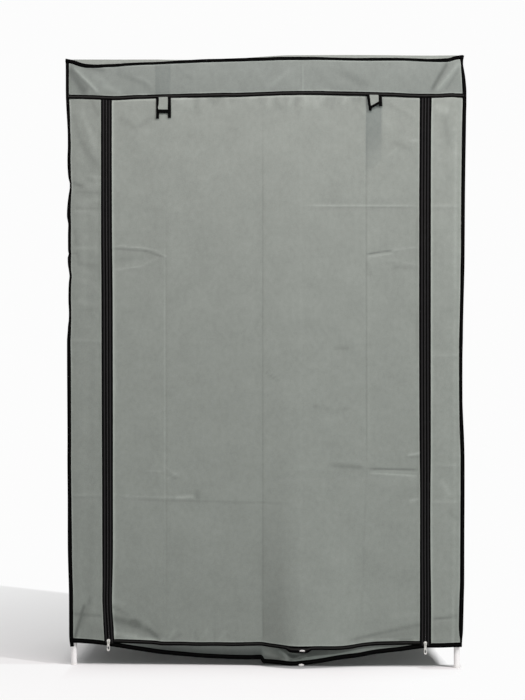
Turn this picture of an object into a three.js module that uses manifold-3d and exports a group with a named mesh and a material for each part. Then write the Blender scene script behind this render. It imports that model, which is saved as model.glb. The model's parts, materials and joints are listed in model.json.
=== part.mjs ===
// Portable fabric wardrobe: a frame of steel tubes in moulded corners, dressed in a sewn cloth cover whose
// front has a roll-up door between two long zips.
// Millimetres, +X right, front towards -Y, +Z up, feet on Z = 0.

import * as THREE from 'three';
import { mergeVertices } from 'three/addons/utils/BufferGeometryUtils.js';
import Module from 'manifold-3d';

const wasm = await Module();
wasm.setup();

// Frame sizes
const tubeDiameter = 16;
const tubeWall = 0.8;
const postSpacingX = 1020; // post axis to post axis, along the front
const postSpacingY = 410;
const bottomRailHeight = 100;
const topRailHeight = 1594;
const sectionJointHeight = 800; // where the upper post stands on the lower one
const spigotLength = 60; // swaged end of the upper post, inside the lower one
const swageLength = 3;
const fitGap = 0.3; // between pieces that touch
const footFlangeHeight = 5;
const footFlangeProud = 0.9; // past the tube's own radius
const footPlugLength = 16;
const footRounding = 1.6;
const socketWall = 1.3;
const socketReach = 36; // from the post's axis to the socket's mouth
const railStandOff = 11; // from the post's axis to the rail's end
const sleeveHalfHeight = 18;
const hangingRailDrop = 22; // below the side rails that carry it
const teeSleeveHalfLength = 22;
const teeReach = 34;
const cutOverrun = 5;

// Cover sizes
const clothThick = 1.2;
const coverGapX = 0.4; // side cloth to the moulded corners
const coverGapY = 4.3; // front and back cloth to the moulded corners
const bindingHeight = 11; // folded tape seen from the front
const bindingThick = 2.4;
const clothGap = 0.6; // cloth to the edge of a binding
const pelmetBindingThick = 4;
const seamAllowance = 7; // bound edge that stands out at the corners
const seamBindingThick = 2.6;
const seamSetBack = 1.2; // from a cover corner to the panel that ends there
const hemHeight = 64; // middle of the hem binding at the corners
const hemTilt = 4; // the hem falls this much towards the zips
const pelmetHeight = 92; // top seam to the middle of the pelmet binding
const pelmetSeamRise = 6;
const roofDip = 11; // top seam beside the corners
const roofSag = 3; // roof cloth between the rails
const edgeDrift = 2.6; // sideways wander of the upright corner seams
const sillSag = 44; // drop of the sill's lower edge under the door
const sillBulge = 34; // how far the sill swings forward on the right
const sillHeight = 52;
const sillSetBack = 3.4; // sill cloth behind the door cloth
const sillEndGap = 0.9; // sill's end to the slider's side
const zipFootDip = 6.4; // the hem passes below the zip's foot
const zipFootEase = 10; // and comes back to its line over this width

// Door and zips
const doorOffset = 4.2; // the door's middle lies this far right of the cover's
const zipInset = 89; // from the post's axis to the zip, but for that offset
const tapeWidth = 14;
const tapeThick = 1;
const coilWidth = 2.4; // one half of the coil
const coilThick = 3;
const coilGap = 1.6; // between the halves, which the slider's web passes
const doorBulge = 42; // how far the hem swings forward right of the middle
const doorHemDrop = 10; // and how far it hangs lower there
const doorHemHeight = 61; // middle of the door's hem binding
const creaseDepth = 2.4; // packing folds
const panelWave = 3;
const pelmetFold = 5;

// Slider and pull
const sliderLength = 15;
const sliderWidth = 11;
const sliderNeck = 7.4;
const plateThick = 1.3;
const plateGap = 0.3;
const webThick = 0.9;
const webLength = 4.5;
const bailHeight = 4.4;
const bailBeam = 1.4;
const bailWidth = 2;
const bailLength = 10.6;
const pullLength = 25; // from its pivot to its end
const pullWidth = 8.6;
const pullWaist = 5.4;
const pullThick = 1.4;
const pullBar = 1.6;
const pullWindowWidth = 3.4;
const pullWindowLength = 5.6;
const pullSlotLength = 4;
const pullSlotHeight = 1.8;
const pullPlay = 0.6; // pull's bar over the bail's foot
const sliderRestHeight = 67.5;

// Ties
const tieWidth = 40;
const tieThick = 1;
const tieEdge = 9; // bound edge
const outerTieWeb = 41; // cloth between the bound edges
const outerTieTail = 15;
const shortTieCut = 13; // the right tab ends on a slant
const innerTieLength = 203;
const innerTieSlant = 37;
const leftTieInset = 151.2; // from the zip to the middle of the ties
const rightTieInset = 134.7;
const outerTieGap = 2.9; // tab in front of the door cloth
const innerTieGap = 2.7; // strap behind the door cloth

// Press fastener
const snapOffset = 97; // from the door's middle
const snapRadius = 4;
const snapThick = 2.2;
const snapStudRadius = 2.4;
const snapGap = 0.6; // snap's back to the binding's face

// Shelf
const shelfSag = 7;
const shelfMargin = 4; // shelf cloth to the corner sockets

// Counts
const roundSides = 16;
const sleeveSides = 16;

// Derived places
const tubeRadius = tubeDiameter / 2;
const boreRadius = tubeRadius - tubeWall;
const socketBore = tubeRadius + fitGap;
const socketRadius = socketBore + socketWall;
const postX = postSpacingX / 2;
const postY = postSpacingY / 2;
const coverX = postX + socketRadius + coverGapX + clothThick / 2;
const coverY = postY + socketRadius + coverGapY + clothThick / 2;
const roofLevel = topRailHeight + socketRadius + fitGap + clothThick / 2;
const seamLevel = roofLevel + seamSetBack;
const pelmetSeam = seamLevel - pelmetHeight;
const zipX = postX - zipInset;
const zipOuter = coilGap / 2 + tapeWidth;
const leftTieX = doorOffset - zipX + leftTieInset;
const rightTieX = doorOffset + zipX - rightTieInset;
const snapX = doorOffset + snapOffset;
const doorHalf = zipX - zipOuter - fitGap;
const stileInner = zipX + zipOuter + fitGap;
const bindingHalf = bindingHeight / 2;
const besideBinding = bindingHalf + clothGap;
const onBinding = bindingHalf + fitGap;

const wardrobe = new THREE.Group();

const finishes = {
  steel: { color: 0xe6e6e4, roughness: 0.35, metalness: 0.1 },
  moulding: { color: 0xe9e9e6, roughness: 0.5, metalness: 0 },
  cloth: { color: 0x8f948e, roughness: 0.9, metalness: 0 },
  shade: { color: 0x848983, roughness: 0.9, metalness: 0 },
  binding: { color: 0x141413, roughness: 0.8, metalness: 0 },
  zip: { color: 0x1a1a19, roughness: 0.6, metalness: 0 },
  slider: { color: 0xb9bbbb, roughness: 0.3, metalness: 0.9 },
  snap: { color: 0xe8e8e6, roughness: 0.4, metalness: 0 },
};

const vec = (x, y, z) => new THREE.Vector3(x, y, z);

// Solid helpers

function welded(geometry) {
  const bare = geometry.index ? geometry.toNonIndexed() : geometry;
  bare.deleteAttribute('normal');
  bare.deleteAttribute('uv');
  return mergeVertices(bare);
}

function toSolid(geometry) {
  const mesh = welded(geometry);
  return new wasm.Manifold(new wasm.Mesh({
    numProp: 3,
    vertProperties: new Float32Array(mesh.attributes.position.array),
    triVerts: new Uint32Array(mesh.index.array),
  }));
}

function toGeometry(solid) {
  const mesh = solid.getMesh();
  const geometry = new THREE.BufferGeometry();
  geometry.setAttribute('position', new THREE.BufferAttribute(mesh.vertProperties, mesh.numProp));
  geometry.setIndex(new THREE.BufferAttribute(mesh.triVerts, 1));
  return geometry;
}

function united(geometries) {
  return geometries.map(toSolid).reduce((whole, piece) => whole.add(piece));
}

// A closed mesh from its corners and faces, turned to face outwards
function closedMesh(points, faces) {
  let volume = 0;
  for (const [a, b, c] of faces) volume += points[a].dot(points[b].clone().cross(points[c]));
  const facing = volume < 0 ? faces.map(([a, b, c]) => [a, c, b]) : faces;
  const geometry = new THREE.BufferGeometry();
  const flat = points.flatMap((p) => [p.x, p.y, p.z]);
  geometry.setAttribute('position', new THREE.Float32BufferAttribute(flat, 3));
  geometry.setIndex(facing.flat());
  return geometry;
}

function add(name, geometry, finish, place = vec(0, 0, 0)) {
  const mesh = new THREE.Mesh(geometry, new THREE.MeshStandardMaterial(finishes[finish]));
  mesh.name = name;
  mesh.position.copy(place);
  wardrobe.add(mesh);
  return mesh;
}

// A body of revolution about Z from a closed profile of [radius, height] pairs
function turned(profile, sides) {
  const points = profile.map(([r, z]) => new THREE.Vector2(r, z));
  return new THREE.LatheGeometry([...points, points[0].clone()], sides).rotateX(Math.PI / 2);
}

// A solid turned about Z whose profile starts and ends on the axis
function turnedSolid(profile, sides) {
  const points = profile.map(([r, z]) => new THREE.Vector2(r, z));
  return new THREE.LatheGeometry(points, sides).rotateX(Math.PI / 2);
}

function rod(radius, low, high, sides) {
  return turnedSolid([[0, low], [radius, low], [radius, high], [0, high]], sides);
}

// Cloth between two edges: a grid of the cloth's middle, given thickness along one direction
function clothSheet({ columns, rows, at, out, thick = clothThick }) {
  const points = [];
  for (const side of [0.5, -0.5]) {
    for (let j = 0; j <= rows.length - 1; j++) {
      for (let i = 0; i <= columns.length - 1; i++) {
        points.push(at(columns[i], rows[j]).addScaledVector(out, side * thick));
      }
    }
  }
  const across = columns.length;
  const layer = across * rows.length;
  const faces = [];
  const quad = (a, b, c, d) => faces.push([a, b, c], [a, c, d]);
  for (let j = 0; j < rows.length - 1; j++) {
    for (let i = 0; i < across - 1; i++) {
      const a = j * across + i;
      quad(a, a + 1, a + across + 1, a + across);
      quad(layer + a, layer + a + across, layer + a + across + 1, layer + a + 1);
    }
  }
  const rim = [];
  for (let i = 0; i < across - 1; i++) rim.push(i);
  for (let j = 0; j < rows.length - 1; j++) rim.push(j * across + across - 1);
  for (let i = across - 1; i > 0; i--) rim.push((rows.length - 1) * across + i);
  for (let j = rows.length - 1; j > 0; j--) rim.push(j * across);
  rim.forEach((a, k) => {
    const b = rim[(k + 1) % rim.length];
    quad(b, a, layer + a, layer + b);
  });
  return closedMesh(points, faces);
}

// Flat tape along a path: its width lies along `across` at each point, its thickness square to both
function tape({ path, across, width, thick, closed = false, from = -0.5 }) {
  const points = [];
  const count = path.length;
  path.forEach((p, i) => {
    const before = closed ? path[(i + count - 1) % count] : path[Math.max(i - 1, 0)];
    const after = closed ? path[(i + 1) % count] : path[Math.min(i + 1, count - 1)];
    const wide = across(p, i).clone().normalize();
    const deep = after.clone().sub(before).cross(wide).normalize();
    for (const [w, t] of [[from, -0.5], [from + 1, -0.5], [from + 1, 0.5], [from, 0.5]]) {
      points.push(p.clone().addScaledVector(wide, w * width).addScaledVector(deep, t * thick));
    }
  });
  const faces = [];
  const quad = (a, b, c, d) => faces.push([a, b, c], [a, c, d]);
  for (let i = 0; i < (closed ? count : count - 1); i++) {
    for (let k = 0; k < 4; k++) {
      const a = i * 4;
      const b = ((i + 1) % count) * 4;
      quad(a + k, a + (k + 1) % 4, b + (k + 1) % 4, b + k);
    }
  }
  if (!closed) {
    const last = (count - 1) * 4;
    quad(3, 2, 1, 0);
    quad(last, last + 1, last + 2, last + 3);
  }
  return closedMesh(points, faces);
}

// Value of a smooth line through hand-chosen [place share, value share] stations
function lineThrough(stations, place) {
  if (place <= stations[0][0]) return stations[0][1];
  for (let i = 1; i < stations.length; i++) {
    const [p0, v0] = stations[i - 1];
    const [p1, v1] = stations[i];
    if (place <= p1) {
      const t = (place - p0) / (p1 - p0);
      return v0 + (v1 - v0) * t * t * (3 - 2 * t);
    }
  }
  return stations[stations.length - 1][1];
}

const even = (low, high, count) =>
  Array.from({ length: count + 1 }, (_, i) => low + ((high - low) * i) / count);
const bump = (x, middle, reach) => Math.exp(-(((x - middle) / reach) ** 2));

// Lines of the sewn edges, as shares of the cover's half width (-1 left, 1 right) and of a named size

const roofSeamShares = [
  [-1, 0], [-0.95, -0.9], [-0.8, -1], [-0.68, -0.65], [-0.54, -0.4], [-0.38, -0.2], [0.05, 0], [0.4, 0],
  [0.66, -0.15], [0.75, -0.5], [0.92, -0.8], [1, 0],
];
const roofSeam = (x) => seamLevel + roofDip * lineThrough(roofSeamShares, x / coverX);

const pelmetSeamShares = [[-1, 0.5], [-0.8, 0], [-0.4, 0.8], [0.2, 1], [0.55, 0.3], [0.8, -1], [1, -1]];
const pelmetLine = (x) => pelmetSeam + pelmetSeamRise * lineThrough(pelmetSeamShares, x / coverX);

const leftDriftShares = [
  [0, 0.2], [0.18, 0.8], [0.35, 0.5], [0.52, 1], [0.58, -1], [0.74, -0.6], [0.86, -0.4], [0.93, 0.7],
  [1, 0],
];
const rightDriftShares = [
  [0, 0.1], [0.12, 0.6], [0.3, 0.9], [0.42, -1], [0.58, -0.6], [0.7, 0], [0.85, 0.4], [0.94, 1], [1, 0],
];
const cornerX = (side, z) => {
  const shares = side < 0 ? leftDriftShares : rightDriftShares;
  const share = (z - hemHeight) / (seamLevel - hemHeight);
  return side * (coverX + edgeDrift * (1 + lineThrough(shares, share)) / 2);
};

const sillShares = [
  [-1, 0], [-0.78, 0.27], [-0.65, 0.45], [-0.47, 0.57], [-0.28, 0.73], [-0.03, 0.73], [0, 0.8], [0.12, 0.9],
  [0.2, 1], [0.35, 0.75], [0.48, 0.5], [0.6, 0.45], [0.7, 0.27], [0.92, 0.05], [1, 0],
];

// Middle of the cover's hem binding at x, round the front
function hemLine(x) {
  const along = x - doorOffset;
  const foot = Math.abs(along) - zipX;
  const eased = Math.min(1, Math.max(0, (Math.abs(foot) - zipOuter - fitGap) / zipFootEase));
  const dip = zipFootDip * (1 - eased);
  const stileWidth = coverX - Math.sign(along) * doorOffset - zipX;
  if (foot > 0) return hemHeight - hemTilt * (1 - foot / stileWidth) - dip;
  return hemHeight - hemTilt - dip - sillSag * lineThrough(sillShares, along / zipX);
}

const doorBulgeShares = [[-0.06, 0], [0, 0.4], [0.14, 0.9], [0.22, 1], [0.4, 0.7], [0.68, 0]];
const doorDropShares = [[-0.02, 0], [0.06, 0.4], [0.17, 1], [0.24, 1], [0.36, 0.6], [0.62, 0]];
const doorShare = (x) => (x - doorOffset) / doorHalf;
const doorHemLine = (x) => doorHemHeight - doorHemDrop * lineThrough(doorDropShares, doorShare(x));
const swingShare = (x) => lineThrough(doorBulgeShares, doorShare(x));
const doorHemY = (x) => -coverY - doorBulge * swingShare(x);
const sillY = (x) => -coverY + sillSetBack - sillBulge * swingShare(x);

// Stations along the front, shared by the pieces that meet there
const frontShares = [
  -1, -0.975, -0.95, ...even(-0.9, -0.6, 4), ...even(-0.5, 0.6, 8), ...even(0.68, 0.9, 3), 0.95, 0.975, 1,
];
const sillHalf = zipX - sliderWidth / 2 - sillEndGap;
const sillStationShares = [
  ...even(-1, -0.15, 9), -0.06, -0.03, 0, 0.04, ...even(0.1, 0.7, 8), 0.8, 0.9, 1,
];
const doorStationShares = [
  -1, -0.86, -0.7, -0.65, -0.6, -0.45, -0.3, -0.15, -0.06, -0.02, 0.01, 0.05, 0.1, 0.16, 0.32, 0.42,
  0.52, 0.61, 0.66, 0.71, 0.85, 1,
];
const placesWithSnap = (shares, half) =>
  [...shares.map((s) => doorOffset + s * half), snapX].sort((a, b) => a - b);
const sillPlaces = placesWithSnap(sillStationShares, sillHalf);
const doorPlaces = placesWithSnap(doorStationShares, doorHalf);
const insideCorner = (x) => Math.min(Math.max(x, seamSetBack - coverX), coverX - seamSetBack);

// Frame of tubes and moulded corners

const corners = [
  ['front_left', -1, -1], ['front_right', 1, -1], ['back_left', -1, 1], ['back_right', 1, 1],
];

function footCap() {
  const plug = boreRadius - fitGap;
  const flange = tubeRadius + footFlangeProud;
  const top = footFlangeHeight + fitGap + footPlugLength;
  return turnedSolid([
    [0, 0], [flange - footRounding, 0], [flange, footRounding], [flange, footFlangeHeight],
    [plug, footFlangeHeight], [plug, top - footRounding], [plug - footRounding, top], [0, top],
  ], roundSides);
}

function lowerPost() {
  const low = footFlangeHeight + fitGap;
  const high = sectionJointHeight - swageLength - fitGap;
  return turned([[boreRadius, low], [tubeRadius, low], [tubeRadius, high], [boreRadius, high]], roundSides);
}

function upperPost() {
  const spigot = boreRadius - fitGap;
  const low = sectionJointHeight - spigotLength;
  const neck = sectionJointHeight - swageLength;
  const high = topRailHeight - railStandOff;
  return turned([
    [spigot - tubeWall, low], [spigot, low], [spigot, neck], [tubeRadius, sectionJointHeight],
    [tubeRadius, high], [boreRadius, high], [boreRadius, sectionJointHeight], [spigot - tubeWall, neck],
  ], roundSides);
}

// A rod along Z whose top is a half ball about z = 0
function domedRod(radius, low, sides) {
  const arc = even(0, Math.PI / 2, sides / 4).slice(0, -1)
    .map((a) => [radius * Math.cos(a), radius * Math.sin(a)]);
  return turnedSolid([[0, low], [radius, low], ...arc, [0, radius]], sides);
}

// Sockets leave the post's axis along +X and +Y before the corner is turned to its place
const alongX = (geometry) => geometry.rotateY(Math.PI / 2);
const alongY = (geometry) => geometry.rotateX(-Math.PI / 2);

function cornerMoulding(upright, boreLow, boreHigh) {
  const body = united([
    upright,
    alongX(rod(socketRadius, 0, socketReach, roundSides)),
    alongY(rod(socketRadius, 0, socketReach, roundSides)),
  ]);
  const bores = united([
    alongX(rod(socketBore, railStandOff - fitGap, socketReach + cutOverrun, roundSides)),
    alongY(rod(socketBore, railStandOff - fitGap, socketReach + cutOverrun, roundSides)),
  ]);
  return body.subtract(bores).subtract(toSolid(rod(socketBore, boreLow, boreHigh, roundSides)));
}

// Turns a moulding whose sockets point to +X and +Y so that they point inwards from the given corner
function mouldingAt(solid, sideX, sideY) {
  const facingX = sideX > 0 ? solid.mirror([1, 0, 0]) : solid;
  return toGeometry(sideY > 0 ? facingX.mirror([0, 1, 0]) : facingX);
}

const bottomMoulding = cornerMoulding(
  rod(socketRadius, -sleeveHalfHeight, sleeveHalfHeight, roundSides),
  -sleeveHalfHeight - cutOverrun, sleeveHalfHeight + cutOverrun);
const topMoulding = cornerMoulding(
  domedRod(socketRadius, -socketReach, roundSides), -socketReach - cutOverrun, -railStandOff + fitGap);

for (const [corner, sideX, sideY] of corners) {
  const foot = vec(sideX * postX, sideY * postY, 0);
  add(`foot_cap_${corner}`, footCap(), 'moulding', foot);
  add(`lower_post_${corner}`, lowerPost(), 'steel', foot);
  add(`upper_post_${corner}`, upperPost(), 'steel', foot);
  add(`bottom_corner_${corner}`, mouldingAt(bottomMoulding, sideX, sideY), 'moulding',
    foot.clone().setZ(bottomRailHeight));
  add(`top_corner_${corner}`, mouldingAt(topMoulding, sideX, sideY), 'moulding',
    foot.clone().setZ(topRailHeight));
}

function tube(length) {
  const half = length / 2;
  return turned([[boreRadius, -half], [tubeRadius, -half], [tubeRadius, half], [boreRadius, half]],
    roundSides);
}

const longRail = postSpacingX - 2 * railStandOff;
const sideRail = postSpacingY - 2 * railStandOff;
for (const [level, height] of [['bottom', bottomRailHeight], ['top', topRailHeight]]) {
  add(`${level}_rail_front`, alongX(tube(longRail)), 'steel', vec(0, -postY, height));
  add(`${level}_rail_back`, alongX(tube(longRail)), 'steel', vec(0, postY, height));
  add(`${level}_rail_left`, alongY(tube(sideRail)), 'steel', vec(-postX, 0, height));
  add(`${level}_rail_right`, alongY(tube(sideRail)), 'steel', vec(postX, 0, height));
}

// Hanging rail in two tee sockets that hang under the side rails
const hangingHeight = topRailHeight - hangingRailDrop;
add('hanging_rail', alongX(tube(longRail)), 'steel', vec(0, 0, hangingHeight));

function railSocket(side) {
  const drop = -hangingRailDrop;
  const sleeveCut = teeSleeveHalfLength + cutOverrun;
  const body = united([
    alongY(rod(socketRadius, -teeSleeveHalfLength, teeSleeveHalfLength, roundSides)),
    rod(socketRadius - fitGap, drop, 0, roundSides),
    alongX(rod(socketRadius, -socketRadius, teeReach, roundSides)).translate(0, 0, drop),
  ]);
  const bores = united([
    alongY(rod(socketBore, -sleeveCut, sleeveCut, roundSides)),
    alongX(rod(socketBore, railStandOff - fitGap, teeReach + cutOverrun, roundSides)).translate(0, 0, drop),
  ]);
  const tee = body.subtract(bores);
  return toGeometry(side < 0 ? tee : tee.mirror([1, 0, 0]));
}

for (const [name, side] of [['left', -1], ['right', 1]]) {
  add(`rail_socket_${name}`, railSocket(side), 'moulding', vec(side * postX, 0, topRailHeight));
}

// Shelf cloth: a sheet sewn into a sleeve round the front and the back bottom rail
function shelfCloth() {
  const inner = tubeRadius + fitGap;
  const outer = inner + clothThick;
  const half = postY;
  const outline = new THREE.Shape();
  const sheetCount = 10;
  outline.absarc(-half, 0, outer, Math.PI / 2, 2 * Math.PI - Math.asin(inner / outer) / 2, false);
  const under = outer - clothThick;
  for (const t of even(-1, 1, sheetCount)) {
    outline.lineTo(t * (half - outer), under - shelfSag * (1 - t * t));
  }
  outline.absarc(half, 0, outer, Math.PI + Math.asin(inner / outer) / 2, 2.5 * Math.PI, false);
  for (const t of even(1, -1, sheetCount)) {
    outline.lineTo(t * (half - outer), outer - shelfSag * (1 - t * t));
  }
  for (const y of [-half, half]) {
    const hole = new THREE.Path();
    hole.absarc(y, 0, inner, 0, 2 * Math.PI, true);
    outline.holes.push(hole);
  }
  const length = postSpacingX - 2 * (socketReach + shelfMargin);
  const geometry = new THREE.ExtrudeGeometry(outline, {
    depth: length, bevelEnabled: false, curveSegments: sleeveSides,
  });
  // The outline's X lies along the row's Y and its Y along Z, so the extrusion runs along X
  return geometry.translate(0, 0, -length / 2).rotateY(Math.PI / 2).rotateX(Math.PI / 2);
}
add('shelf_cloth', shelfCloth(), 'cloth', vec(0, 0, bottomRailHeight));

// Cover panels

const ripple = (share, waves, phase) => Math.sin(2 * Math.PI * (waves * share + phase));

// Roof: lies over the rails and falls to the dipping top seam at its front edge
const railShare = postY / coverY;
const shoulderShare = (railShare + 1) / 2;
const shoulderRiseShare = 0.88; // of the fall from the rail to the seam
const roofRowShares = [-railShare, ...even(-0.8, 0.8, 6), railShare];
function roofPanel() {
  const limit = (coverY - seamSetBack) / coverY;
  return clothSheet({
    columns: frontShares,
    rows: [-limit, -shoulderShare, ...roofRowShares, shoulderShare, limit],
    out: vec(0, 0, 1),
    at: (u, v) => {
      const x = insideCorner(u * coverX);
      const y = v * coverY;
      const front = v < 0 ? roofSeam(x) - seamSetBack : roofLevel;
      const rise = Math.abs(v) >= limit ? 0 : Math.abs(v) > railShare ? shoulderRiseShare : 1;
      const sag = roofSag * Math.max(0, 1 - (y / postY) ** 2) * Math.max(0, 1 - (x / postX) ** 2);
      return vec(x, y, front + (roofLevel - front) * rise - sag * (rise === 1 ? 1 : 0));
    },
  });
}
add('roof_panel', roofPanel(), 'cloth');

// Cloth stops this far above the middle of a binding
const hemTop = (x) => hemLine(x) + onBinding;
const cornerHemTop = hemHeight + onBinding;

const sideWaves = 1.3;
const backWaves = 2.2;
const leanShare = 0.3; // of one wave, over the height
function sidePanel(side) {
  const phaseShare = 0.15 * side;
  return clothSheet({
    columns: even(-1, 1, 10),
    rows: even(0, 1, 10),
    out: vec(1, 0, 0),
    at: (u, v) => {
      const top = seamLevel - seamSetBack;
      const z = cornerHemTop + (top - cornerHemTop) * v;
      const fade = (1 - u * u) * Math.sin(Math.PI * v);
      const wave = panelWave * fade * (1 + ripple(u, sideWaves, phaseShare + leanShare * v)) / 2;
      return vec(side * (coverX + wave), u * (coverY - seamSetBack), z);
    },
  });
}

function backPanel() {
  return clothSheet({
    columns: even(-1, 1, 16),
    rows: even(0, 1, 8),
    out: vec(0, 1, 0),
    at: (u, v) => {
      const top = roofLevel - seamSetBack;
      const z = cornerHemTop + (top - cornerHemTop) * v;
      const fade = (1 - u ** 4) * Math.sin(Math.PI * v);
      const wave = panelWave * fade * ripple(u, backWaves, leanShare * v);
      return vec(u * (coverX - seamSetBack), coverY + wave, z);
    },
  });
}

// Stile between the corner seam and the zip, with the packing folds that cross it
const stileFoldShares = [0.25, 0.58, 0.73];
const stileFoldReachShare = 0.02;
const stileColumnShares = [0, 0.12, 0.35, 0.6, 0.85, 1];
const stileRowShares = [0, 0.08, 0.2, 0.25, 0.3, 0.4, 0.53, 0.58, 0.63, 0.7, 0.73, 0.76, 0.88, 1];
const stileWaves = 1.6;
function stile(side) {
  const phaseShare = 0.25 * side;
  return clothSheet({
    columns: stileColumnShares,
    rows: stileRowShares,
    out: vec(0, 1, 0),
    at: (u, v) => {
      const inner = doorOffset + side * stileInner;
      const lowX = inner + (side * coverX - inner) * u;
      const low = hemTop(lowX) + clothGap;
      const x = inner + (cornerX(side, low + (pelmetSeam - low) * v) - side * seamSetBack - inner) * u;
      const high = pelmetLine(x) - besideBinding;
      const fade = Math.sin(Math.PI * u) * Math.sin(Math.PI * v);
      const folds = stileFoldShares.reduce((sum, s) => sum + bump(v, s, stileFoldReachShare), 0);
      const wave = (panelWave * (1 + ripple(v, stileWaves, phaseShare))) / 2 - creaseDepth * folds;
      return vec(x, -coverY - Math.abs(fade) * wave, low + (high - low) * v);
    },
  });
}

// Pelmet: the band over the door, drawn into slanting folds by the two top corners. Each fold starts at a
// share of the half width at the top, leans by another at the foot, and has its own reach and depth
const pelmetFoldShares = [
  { top: -0.98, lean: 0.19, reach: 0.035, depth: 1 },
  { top: 0.95, lean: -0.14, reach: 0.025, depth: 1 },
  { top: 0.88, lean: -0.13, reach: 0.02, depth: 0.7 },
];
const pelmetEdgeShare = 0.03; // flat beside the corner seams
const foldedShares = [...even(-0.93, -0.75, 6), ...even(0.72, 0.93, 7)];
const pelmetStationShares = [...new Set([...frontShares, ...foldedShares])].sort((a, b) => a - b);
function pelmet() {
  return clothSheet({
    columns: pelmetStationShares,
    rows: even(0, 1, 5),
    out: vec(0, 1, 0),
    at: (u, v) => {
      const x = insideCorner(u * coverX);
      const low = pelmetLine(x) + besideBinding;
      const cornerEase = Math.abs(u) === 1 ? seamSetBack : 0; // where three seams meet
      const high = roofSeam(x) - seamSetBack - fitGap - cornerEase;
      const fold = pelmetFoldShares.reduce(
        (sum, f) => sum + f.depth * bump(u, f.top + f.lean * (1 - v), f.reach), 0);
      const fade = Math.sin(Math.PI * v) * Math.min(1, (1 - Math.abs(u)) / pelmetEdgeShare);
      return vec(x, -coverY - pelmetFold * fade * fold, low + (high - low) * v);
    },
  });
}

// Sill: the strip under the door, which sags between the zips and swings forward on the right
const sillSwingPower = 1.5;
function sill() {
  return clothSheet({
    columns: sillPlaces,
    rows: even(0, 1, 3),
    out: vec(0, 1, 0),
    at: (x, v) => {
      const hang = -coverY + sillSetBack;
      return vec(x, hang + (sillY(x) - hang) * (1 - v) ** sillSwingPower, hemTop(x) + sillHeight * v);
    },
  });
}

// Door: hangs from the pelmet seam between the zips, creased where it was folded for packing, and its foot
// swings forward right of the middle crease
const doorCreaseShares = [-0.65, -0.02, 0.24, 0.66];
const doorFoldShares = [0.27, 0.32, 0.69, 0.8];
const doorSwingShare = 0.45; // of the door's height
const doorCreaseReachShare = 0.03;
const doorFoldReachShare = 0.015;
const doorEdgeShare = 0.1; // flat beside the zips
const doorFoldDepthShare = 0.4;
const topFadeShare = 0.8; // creases fade upwards by this much
const doorRowShares = [
  0, 0.04, 0.09, 0.15, 0.22, 0.27, 0.32, 0.38, 0.48, 0.58, 0.66, 0.69, 0.72, 0.8, 0.86, 0.93, 1,
];
function doorPanel() {
  return clothSheet({
    columns: doorPlaces,
    rows: doorRowShares,
    out: vec(0, 1, 0),
    at: (x, v) => {
      const u = doorShare(x);
      const low = doorHemLine(x) + onBinding;
      const high = pelmetLine(x) - besideBinding;
      const swing = Math.max(0, 1 - v / doorSwingShare) ** 2;
      const edge = Math.min(1, (1 - Math.abs(u)) / doorEdgeShare) * Math.sqrt(Math.sin(Math.PI * v));
      const creases = doorCreaseShares.reduce((sum, s) => sum + bump(u, s, doorCreaseReachShare), 0);
      const folds = doorFoldShares.reduce((sum, s) => sum + bump(v, s, doorFoldReachShare), 0);
      const depthShare = creases * (1 - doorFoldDepthShare) + folds * doorFoldDepthShare;
      const relief = creaseDepth * edge * depthShare * (1 - topFadeShare * v);
      return vec(x, -coverY + (doorHemY(x) + coverY) * swing - relief, low + (high - low) * v);
    },
  });
}

for (const [name, side] of [['left', -1], ['right', 1]]) {
  add(`side_panel_${name}`, sidePanel(side), 'cloth');
  add(`stile_${name}`, stile(side), 'cloth');
}
add('back_panel', backPanel(), 'cloth');
add('pelmet', pelmet(), 'cloth');
add('sill', sill(), 'cloth');
add('door_panel', doorPanel(), 'cloth');

// Bindings

// Top seam and the four upright corner seams, bound in one tape that stands out at 45 degrees
function edgeBinding() {
  const ring = [];
  for (const u of frontShares) ring.push(vec(u * coverX, -coverY, roofSeam(u * coverX)));
  for (const v of even(-0.8, 0.8, 4)) ring.push(vec(coverX, v * coverY, seamLevel));
  for (const u of even(1, -1, 10)) ring.push(vec(u * coverX, coverY, seamLevel));
  for (const v of even(0.8, -0.8, 4)) ring.push(vec(-coverX, v * coverY, seamLevel));
  const outwards = (p) => {
    const onSide = Math.abs(p.x) > coverX - seamAllowance;
    const onEnd = Math.abs(p.y) > coverY - seamAllowance;
    return vec(onSide ? Math.sign(p.x) : 0, onEnd ? Math.sign(p.y) : 0, 1);
  };
  const parts = [tape({
    path: ring, across: outwards, width: seamAllowance, thick: seamBindingThick, closed: true, from: 0,
  })];
  const stations = 20;
  for (const [, sideX, sideY] of corners) {
    const path = even(cornerHemTop, seamLevel + seamSetBack, stations).map((z) => {
      const x = sideY < 0 ? cornerX(sideX, z) : sideX * coverX;
      return vec(x, sideY * coverY, z);
    });
    parts.push(tape({
      path, across: () => vec(sideX, sideY, 0), width: seamAllowance, thick: seamBindingThick, from: 0,
    }));
  }
  return toGeometry(united(parts));
}
add('edge_binding', edgeBinding(), 'binding');

const upright = () => vec(0, 0, 1);

function pelmetBinding() {
  const reach = coverX - seamSetBack;
  return tape({
    path: even(-1, 1, 24).map((u) => vec(u * reach, -coverY, pelmetLine(u * reach))),
    across: upright, width: bindingHeight, thick: pelmetBindingThick,
  });
}
add('pelmet_binding', pelmetBinding(), 'binding');

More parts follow.
